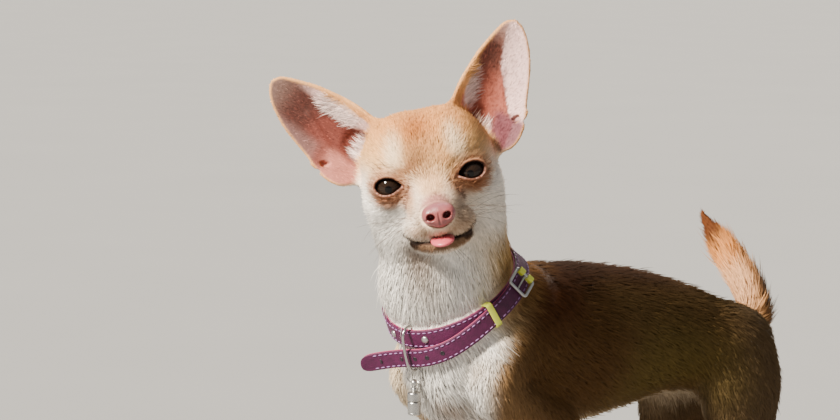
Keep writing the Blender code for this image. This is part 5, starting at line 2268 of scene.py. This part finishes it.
    def dee(self, metal: bpy.types.Material) -> Array:
        """The D-ring round the band and the free end.

        Args:
            metal: Its material.

        Returns:
            The middle line of its wire.
        """
        around = self.dee_corners[-2:] + self.dee_corners + self.dee_corners[:3]
        path = smooth_path([(0, -out, up) for out, up in around], 7)[14:-14]
        wire = self.hoop.seat(self.dee_at).place(path)
        rings = wire_rings(wire[:-1], [self.dee_wire], 14, True)
        Shape().loft(rings, True).piece("dee_wire", [metal], "ring_metal", "dee_ring", 80)
        return wire

    def split_ring(self, hook: Array, metal: bpy.types.Material) -> Axes:
        """The ring of two turns on the D-ring.

        Args:
            hook: The lowest point of the D-ring's middle line.
            metal: Its material.

        Returns:
            Axes at its lowest point.
        """
        drop = self.ring_radius - 0.5 - self.dee_wire - 0.3
        ring = Axes.turned(hook - (0, 0, drop), turn=self.tag_turn)
        turns = np.linspace(0.3, 4 * math.pi + 0.1, 110)
        lay = 0.52 * ramp(turns, 2 * math.pi - 1.2, 2 * math.pi + 1.2) - 0.26
        around = np.stack([np.cos(turns), lay / self.ring_radius, np.sin(turns)], axis=1)
        radii = np.full(len(turns), self.ring_wire)
        radii[[0, -1]] = self.ring_end
        coil = Shape().loft(wire_rings(ring.place(around * self.ring_radius), radii, 10))
        coil.piece("split_ring_coil", [metal], "ring_metal", "split_ring", 80)
        return ring.inside((0, 0, -self.ring_radius))

    def tag(self, top: Axes, metal: bpy.types.Material) -> None:
        """The capsule that hangs from the split ring: its screwed cap and its body."""
        cap = Shape().loft(self.bead(top), True)
        for name, node, shape, head, grip, foot in (
            ("tag_cap_turned", "tag_cap", cap, self.cap_top, self.cap_grip, self.cap_foot),
            ("tag_body_turned", "tag_body", Shape(), self.body_top, self.body_grip, self.body_foot),
        ):
            shape.loft(turned_rings(top, head, 48)).loft(self.knurled(top, *grip))
            shape.loft(turned_rings(top, foot, 48)).piece(name, [metal], "tag_metal", node, 45)

    def bead(self, top: Axes) -> Array:
        """Rings of the bead that the split ring passes through."""
        found = []
        for y, z in circle(28):
            section = ((1.35 * x, 1.55 + 0.55 * out) for x, out in circle(14))
            found.append(top.place([(x, y * reach, z * reach) for x, reach in section]))
        return np.array(found)

    def knurled(
        self, top: Axes, start: Tuple[float, float], end: Tuple[float, float], sides: int = 120
    ) -> Array:
        """Rings of a barrel whose face is cut with crossed ridges.

        Args:
            top: The tag's axes.
            start: The radius and height of its upper end.
            end: The radius and height of its lower end.
            sides: How many points a ring has.

        Returns:
            The rings.
        """
        turns = np.linspace(0, 2 * math.pi, sides, endpoint=False)
        found = []
        for share in np.linspace(0, 1, 26):
            radius, height = np.array(start) + (np.array(end) - start) * share
            slant = 7.8 * share
            cut = np.abs(np.sin(12 * turns + slant)) + np.abs(np.sin(12 * turns - slant))
            flat = circle(sides) * (radius - 0.16 + 0.1 * cut)[:, None]
            found.append(top.place(np.column_stack([flat, np.full(sides, height)])))
        return np.array(found)


# The skin and its coat


class Skin:
    """The one surface under the coat, from nose to tail."""

    voxel = 0.85
    margin = 4.0
    # How far from the head's middle the skin stays fine, and the share of faces kept elsewhere
    fine = 62.0
    kept = 0.55
    nodes = (
        "head", "lower_jaw", "ear_left", "ear_right", "neck", "trunk", "tail",
        "foreleg_left", "foreleg_right", "hindleg_left", "hindleg_right",
    )

    def __init__(self, dog: Dog, markings: Markings) -> None:
        """Finds the skin and paints it.

        Args:
            dog: The dog's field.
            markings: The colours it wears, painted shade and highlights among them.
        """
        low, high = (np.array(corner) / MM for corner in CAD_BOX)
        low, high = low - self.margin, high + self.margin
        low[2] = -self.margin
        points, quads = polygonised(dog.skin, low, high, self.voxel)
        points[:, 2] = np.maximum(points[:, 2], 0.0)
        close = np.linalg.norm(HEAD.locate(points) - (0, 0, 5), axis=1) < self.fine
        points[close] = settled(dog.skin, points[close])
        self.mesh = make_mesh("skin", points, quads)
        self.points, self.quads = points, quads
        self.body = np.flatnonzero(~close)
        normals = np.empty(len(points) * 3, np.float32)
        self.mesh.vertices.foreach_get("normal", normals)
        self.normals = normals.reshape(-1, 3).astype(float)
        paint(self.mesh, PAINTED, markings.at(points, self.normals))

    def thinned(self) -> bpy.types.Mesh:
        """The skin with fewer faces behind the head, where the coat is long."""
        whole = bpy.data.objects.new("fine_skin", self.mesh)
        bpy.context.scene.collection.objects.link(whole)
        whole.vertex_groups.new(name="body").add(self.body.tolist(), 1.0, "REPLACE")
        thin = whole.modifiers.new("thin", "DECIMATE")
        thin.ratio = self.kept
        thin.vertex_group = "body"
        seen = whole.evaluated_get(bpy.context.evaluated_depsgraph_get())
        mesh = bpy.data.meshes.new_from_object(seen)
        bpy.data.objects.remove(whole)
        return mesh

    def build(self) -> None:
        """Puts the skin in the place of all the flesh solids."""
        finish = Finish(
            "skin_under_fur", roughness=0.66, specular=0.14, grain=0.5, bump=0.35, mottle=3.0,
            attribute=PAINTED,
        )
        place("skin", self.thinned(), [finish.material()], "coat", self.nodes)


class Coat:
    """Tufts over the skin. Each is a closed three-sided lock that bends down to a point."""

    # The size of a tuft on its piece's unwrap, and the most tufts that a piece has
    patch = 0.003
    most = 19500
    # How far along a tuft its two triangles of points stand, before its tip
    rings = (0.0, 0.5)
    triangles = [
        (0, 3, 1), (1, 3, 4), (1, 4, 2), (2, 4, 5), (2, 5, 0), (0, 5, 3),
        (3, 6, 4), (4, 6, 5), (5, 6, 3), (0, 1, 2),
    ]
    # Where its seven points lie on its own bit of the unwrap, in shares of that bit
    across = (0.4, -0.4, 0.0, 0.3, -0.3, 0.0, 0.0)
    along = (-0.4, -0.4, -0.4, 0.0, 0.0, 0.0, 0.4)
    seed = 7
    # A tuft's half-width in shares of its width, how much that grows along it, and how thick the
    # tuft is in shares of it
    half, wider_up, keel = 0.42, 0.16, 0.8
    # How many times higher than a straight line it rises at first, and how deep its root is sunk
    arch, sunk = 1.35, 0.25
    # How light its root is, how much darker for each millimetre of its length, and the rest of it:
    # painted shade deep in the coat, lighter towards the tip
    root_shade, long_shade = 0.92, 0.007
    shades = (0.97, 0.97, 1.0, 1.08)
    # How far a tuft's shading is its own and not the skin's
    rounded = 0.55
    # How far tufts stray in their lie, their length, their width and, in degrees, their lift
    stray, longer, wider, looser = 0.16, 0.22, 0.15, 4.0
    # How much tufts differ in lightness on the body, and how much more on the ears
    uneven, uneven_ears = 0.12, 0.18
    # How far from the strap's middle roots and tips stay
    strap_half, strap_clear = 4.9, 5.3

    def __init__(self, dog: Dog, skin: Skin, markings: Markings) -> None:
        """Keeps what the coat grows from.

        Args:
            dog: The dog's field, for the lie of the hair.
            skin: What the tufts stand on.
            markings: The colours they wear, painted shade and highlights among them.
        """
        self.dog, self.skin, self.markings = dog, skin, markings
        self.chance = np.random.default_rng(self.seed)

    def roots(self) -> Tuple[Array, Array, Array]:
        """Scatters roots over the skin's faces, as thickly as each part's hair grows.

        Returns:
            The roots, the skin's normals there, and the parts' shares of each.
        """
        corners = self.skin.points[self.skin.quads]
        middle = corners.mean(axis=1)
        cross = np.cross(corners[:, 2] - corners[:, 0], corners[:, 3] - corners[:, 1])
        area = np.linalg.norm(cross, axis=1) / 2
        weights = self.dog.weights(self.dog.distances(middle))
        density = weights @ np.array([part.hair.density for part in self.dog.parts])
        density *= self.growth(middle)
        count = self.chance.poisson(area * density)
        face = np.repeat(np.arange(len(count)), count)
        share = self.chance.random((len(face), 2, 1))
        own = corners[face]
        near = own[:, 0] + share[:, 0] * (own[:, 1] - own[:, 0])
        far = own[:, 3] + share[:, 0] * (own[:, 2] - own[:, 3])
        points = near + share[:, 1] * (far - near)
        normals = unit(self.skin.normals[self.skin.quads[face]].mean(axis=1))
        return points, normals, weights[face]

    def growth(self, points: Array) -> Array:
        """How fully the coat grows: not on the soles, the lids' rims, the lips or inside the ears."""
        local = HEAD.locate(points)
        full = ramp(points[:, 2], 0.8, 3.0)
        for side in (1, -1):
            near_eye = ramp(self.dog.almond(local, side), 0.7, 1.6)
            full = full * np.where(np.abs(local[:, 1]) < 25, near_eye, 1.0)
        lips = ramp(np.abs(self.dog.smile(local) + 0.3), 0.9, 1.9)
        full = full * np.where(local[:, 1] < self.dog.mouth_end, lips, 1.0)
        pad = nose_pad(local, self.dog.nose_at)
        full = full * ramp(pad, 0.5, 1.6)
        for ear in self.dog.ears:
            own = ear.axes.locate(points)
            rim = outline_distance(own[:, [0, 2]] * (ear.side, 1), ear.rim)
            ahead = own[:, 1] < ear.front(own[:, 0] * ear.side, own[:, 2]) + 1.8
            bare = ahead & (rim < -3.0) & (own[:, 2] > -6) & (np.abs(own[:, 1]) < 25)
            full = np.where(bare, 0.6 * full, full) * (1 + 0.8 * ear.fringe(points))
        return full

    def build(self) -> None:
        """Grows the tufts and puts them in the scene, part by part."""
        points, normals, weights = self.roots()
        locks, keep = self.grown(points, normals, weights)
        colours = self.markings.at(points, normals)
        uneven = self.uneven + self.uneven_ears * weights[:, -2:].sum(axis=1, keepdims=True)
        colours *= np.exp(uneven * self.chance.normal(0, 1, (len(points), 1)))
        shine = self.normals_of(locks, normals)
        strongest = weights.argmax(axis=1)
        finish = Finish(
            "coat_hair", roughness=0.74, specular=0.06, grain=0.4, bump=0.12, mottle=2.2,
            attribute=PAINTED,
        ).material()
        for number, part in enumerate(self.dog.parts):
            mine = np.flatnonzero(keep & (strongest == number))
            flat = self.laid_out(part, points[mine], normals[mine])
            pieces = max(1, math.ceil(len(mine) / self.most))
            order = np.argsort(flat[:, 0], kind="stable")
            for lot, chosen in enumerate(np.array_split(order, pieces), 1):
                name = "coat_" + part.name + ("_" + str(lot) if pieces > 1 else "")
                tufts = [found[mine[chosen]] for found in (locks, colours, shine)]
                self.piece(name, *tufts, flat[chosen], finish, part.hair.length)

    def grown(self, points: Array, normals: Array, weights: Array) -> Tuple[Array, Array]:
        """The tufts at their roots, each a little different from the next.

        Args:
            points: The roots.
            normals: The skin's normals there.
            weights: The parts' shares of each.

        Returns:
            The points of each tuft, and which tufts stay clear of the collar, eyes and ground.
        """
        hairs = [part.hair for part in self.dog.parts]
        length, width, lift = (
            weights @ np.array([getattr(hair, name) for hair in hairs])
            for name in ("length", "width", "lift")
        )
        shares = list(zip(weights.T, self.dog.parts))
        lie = sum(share[:, None] * unit(part.lie(points)) for share, part in shares)
        chance, count = self.chance, len(points)
        lie = unit(lie) + chance.normal(0, self.stray, lie.shape)
        length = length * sum(share * part.cropped(points) for share, part in shares)
        length = length * np.exp(chance.normal(0, self.longer, count))
        length = length * (0.55 + 0.45 * ramp(points[:, 2], 2, 14))
        width = width * np.exp(chance.normal(0, self.wider, count))
        lift = np.radians(lift + chance.normal(0, self.looser, count))
        tips = self.locks(points, normals, lie, length, width, lift)[:, 6]
        free, length = self.trimmed(points, tips, length)
        locks = self.locks(points, normals, lie, length, width, lift)
        return locks, free & self.clear(locks[:, 6]) & (locks[:, :, 2].min(axis=1) > 0.0)

    def clear(self, tips: Array) -> Array:
        """Which tips stay off the eyes."""
        local = HEAD.locate(tips)
        eyes = np.minimum(self.dog.almond(local, 1), self.dog.almond(local, -1))
        return (eyes > 0.4) | (local[:, 1] > 10)

    def trimmed(self, points: Array, tips: Array, length: Array) -> Tuple[Array, Array]:
        """Keeps the tufts clear of the collar.

        Args:
            points: Their roots.
            tips: Their tips.
            length: Their lengths.

        Returns:
            Which tufts stand free of the strap, and the lengths that end at its edges.
        """
        root, tip = self.dog.hoop.height(points), self.dog.hoop.height(tips)
        away = np.abs(root) - self.strap_half
        crossing = (np.abs(tip) < self.strap_clear) | (root * tip < 0)
        crossing &= (away > 0) & (np.abs(root) < 20)
        share = np.clip(away / (np.abs(root - tip) + 1e-6), 0.1, 1.0)
        return away > 0.0, np.where(crossing, length * share, length)

    def locks(
        self, points: Array, normals: Array, lie: Array, length: Array, width: Array, lift: Array
    ) -> Array:
        """The seven points of each tuft: a triangle at its root, one half way, and its tip.

        Args:
            points: The roots.
            normals: The skin's normals there.
            lie: The way each tuft lies.
            length: How long it is.
            width: How wide it is.
            lift: How far it stands off the skin, in radians.

        Returns:
            The points, seven to a tuft.
        """
        along = unit(lie - (lie * normals).sum(-1, keepdims=True) * normals)
        side = np.cross(normals, along)
        run = length * np.cos(lift)
        rise = length * np.sin(lift)
        found = []
        for share in self.rings:
            spot = points + along * (run * share)[:, None]
            spot = spot + normals * (rise * self.arch * share - self.sunk * (1 - share))[:, None]
            half = (width * (self.half + self.wider_up * share))[:, None]
            found += [spot + side * half, spot - side * half, spot + normals * half * self.keel]
        found.append(points + along * run[:, None] + normals * rise[:, None])
        return np.stack(found, axis=1)

    def normals_of(self, locks: Array, normals: Array) -> Array:
        """Shading normals of each tuft's points: mostly the skin's, a little rounded."""
        own = unit(locks - locks.mean(axis=1, keepdims=True))
        return unit(normals[:, None] + self.rounded * own)

    def laid_out(self, part: Part, points: Array, normals: Array) -> Array:
        """Where roots lie on an unwrap of the part's skin.

        Args:
            part: The part they grow on.
            points: The roots.
            normals: The skin's normals there.

        Returns:
            Two coordinates to a root, from 0 to 1.
        """
        axes = part.long_axes()
        local = axes.locate(points)
        if part.unwrap is Unwrap.PLATE:
            behind = normals @ axes.matrix[:, 1] > 0
            u = 0.24 + local[:, 0] / 130 + 0.5 * behind
        else:
            u = np.arctan2(local[:, 0], local[:, 1]) / (2 * math.pi) + 0.5
        low, high = local[:, 2].min(), local[:, 2].max()
        v = (local[:, 2] - low) / (high - low)
        return np.clip(np.stack([u, v], axis=1), 0, 1) * (1 - 4 * self.patch) + 2 * self.patch

    def piece(
        self, name: str, locks: Array, colours: Array, shine: Array, flat: Array,
        finish: bpy.types.Material, length: float,
    ) -> None:
        """One piece of the coat.

        Args:
            name: Its name.
            locks: Its tufts, seven points to each.
            colours: One colour to a tuft.
            shine: The shading normals of its points.
            flat: The place of each root on the skin's unwrap.
            finish: Its material.
            length: How long its hair is. Long hair is darker at the root, as painted shade deep in
                the coat.
        """
        firsts = np.arange(len(locks))[:, None, None] * locks.shape[1]
        faces = (firsts + np.array(self.triangles)).reshape(-1, 3)
        mesh = make_mesh(name, locks.reshape(-1, 3), faces)
        deep = self.root_shade - self.long_shade * min(length, 10.0)
        shade = np.array([deep, deep, deep + 0.05, *self.shades])
        paint(mesh, PAINTED, (colours[:, None] * shade[None, :, None]).reshape(-1, 3))
        spots = flat[:, None] + self.patch * np.stack([self.across, self.along], axis=1)
        layer = mesh.uv_layers.new(name="OFBake")
        layer.data.foreach_set("uv", spots.reshape(-1, 2)[faces.ravel()].astype(np.float32).ravel())
        mesh.normals_split_custom_set_from_vertices(shine.reshape(-1, 3).astype(np.float32))
        place(name, mesh, [finish], "coat")


# The studio


@dataclass
class Studio:
    """A pale floor, soft lights and a camera where the photograph was taken from."""

    azimuth: float = 55.0
    elevation: float = 7.0
    distance: float = 1.25
    # The size of a pixel at the eyes, and how many pixels from the picture's middle they are
    pixel: float = 0.00053
    mid_eye_right: float = 10.0
    mid_eye_up: float = 31.5
    image_width: float = 840.0
    sensor: float = 36.0
    # Each lamp's turn, rise and spread in degrees, its strength and its colour
    lamps = {
        "key_light": (-52, 40, 12, 14.0, (255, 245, 228)),
        "rim_light": (170, 42, 20, 2.6, (255, 246, 232)),
    }
    air: Triple = (222, 226, 232)
    air_strength: float = 0.42
    floor_reach: float = 20000.0
    floor_gap: float = 0.2

    def build(self) -> None:
        """Sets up the floor, the lights and the camera."""
        self.floor()
        self.camera()
        for name, settings in self.lamps.items():
            self.lamp(name, *settings)
        world = bpy.data.worlds.new("studio_air")
        bpy.context.scene.world = world
        world.use_nodes = True
        sky = world.node_tree.nodes["Background"]
        sky.inputs["Color"].default_value = (*linear(*self.air), 1)
        sky.inputs["Strength"].default_value = self.air_strength

    def directions(self, azimuth: float, elevation: float) -> Tuple[Vector, Vector, Vector]:
        """Right, up and back of a view at an angle, in degrees."""
        turn, rise = math.radians(azimuth), math.radians(elevation)
        right = Vector((math.cos(turn), math.sin(turn), 0))
        ahead = Vector((-math.sin(turn), math.cos(turn), 0))
        upright = Vector((0, 0, 1))
        up = ahead * math.sin(rise) + upright * math.cos(rise)
        return right, up, upright * math.sin(rise) - ahead * math.cos(rise)

    def camera(self) -> None:
        """Places the camera by where the middle of the eyes stands in the frame."""
        right, up, back = self.directions(self.azimuth, self.elevation)
        eyes = Vector(HEAD.origin * MM)
        target = eyes - right * self.mid_eye_right * self.pixel - up * self.mid_eye_up * self.pixel
        lens = bpy.data.cameras.new("camera")
        lens.sensor_width = self.sensor
        lens.lens = self.sensor * self.distance / (self.image_width * self.pixel)
        lens.clip_start = 0.01
        seen = bpy.data.objects.new("camera", lens)
        bpy.context.scene.collection.objects.link(seen)
        facing = Matrix((right, up, back)).transposed().to_4x4()
        seen.matrix_world = Matrix.Translation(target + back * self.distance) @ facing
        bpy.context.scene.camera = seen

    def lamp(
        self, name: str, turn: float, rise: float, spread: float, power: float, colour: Triple
    ) -> None:
        """A soft light from far off, so that it falls evenly over the floor.

        Args:
            name: Its name.
            turn: Degrees to the right of the camera.
            rise: Degrees above the floor.
            spread: How wide it looks from the dog, in degrees.
            power: Its strength in watts to the square metre.
            colour: Its colour.
        """
        right, up, back = self.directions(self.azimuth + turn, rise)
        light = bpy.data.lights.new(name, "SUN")
        light.angle = math.radians(spread)
        light.energy = power
        light.color = linear(*colour)
        lamp = bpy.data.objects.new(name, light)
        bpy.context.scene.collection.objects.link(lamp)
        lamp.matrix_world = Matrix((right, up, back)).transposed().to_4x4()

    def floor(self) -> None:
        """A wide floor with a faint mottling."""
        reach = self.floor_reach
        corners = ((-reach, -reach), (reach, -reach), (reach, reach), (-reach, reach))
        points = np.array([(x, y, -self.floor_gap) for x, y in corners])
        mesh = make_mesh("floor", points, np.array([[0, 1, 2, 3]]))
        finish = Finish(
            "floor_paper", (142, 142, 142), (137, 137, 137), roughness=0.8, specular=0.2,
            grain=2.0, bump=0.03, mottle=240.0,
        )
        floor = bpy.data.objects.new("floor", mesh)
        mesh.materials.append(finish.material())
        bpy.context.scene.collection.objects.link(floor)


def main() -> None:
    """Builds the dog and its studio, piece by piece."""
    logging.basicConfig(level=logging.INFO, format="%(message)s")
    dog = Dog()
    markings = Markings(dog)
    Studio().build()
    log.info("studio ready")
    dog.hoop = Hoop(dog)
    skin = Skin(dog, markings)
    skin.build()
    Coat(dog, skin, markings).build()
    for side in Side:
        Eye(side).build()
    Snout(dog).build()
    Claws(dog).build()
    Collar(dog.hoop).build()


if __name__ == "__main__":
    main()
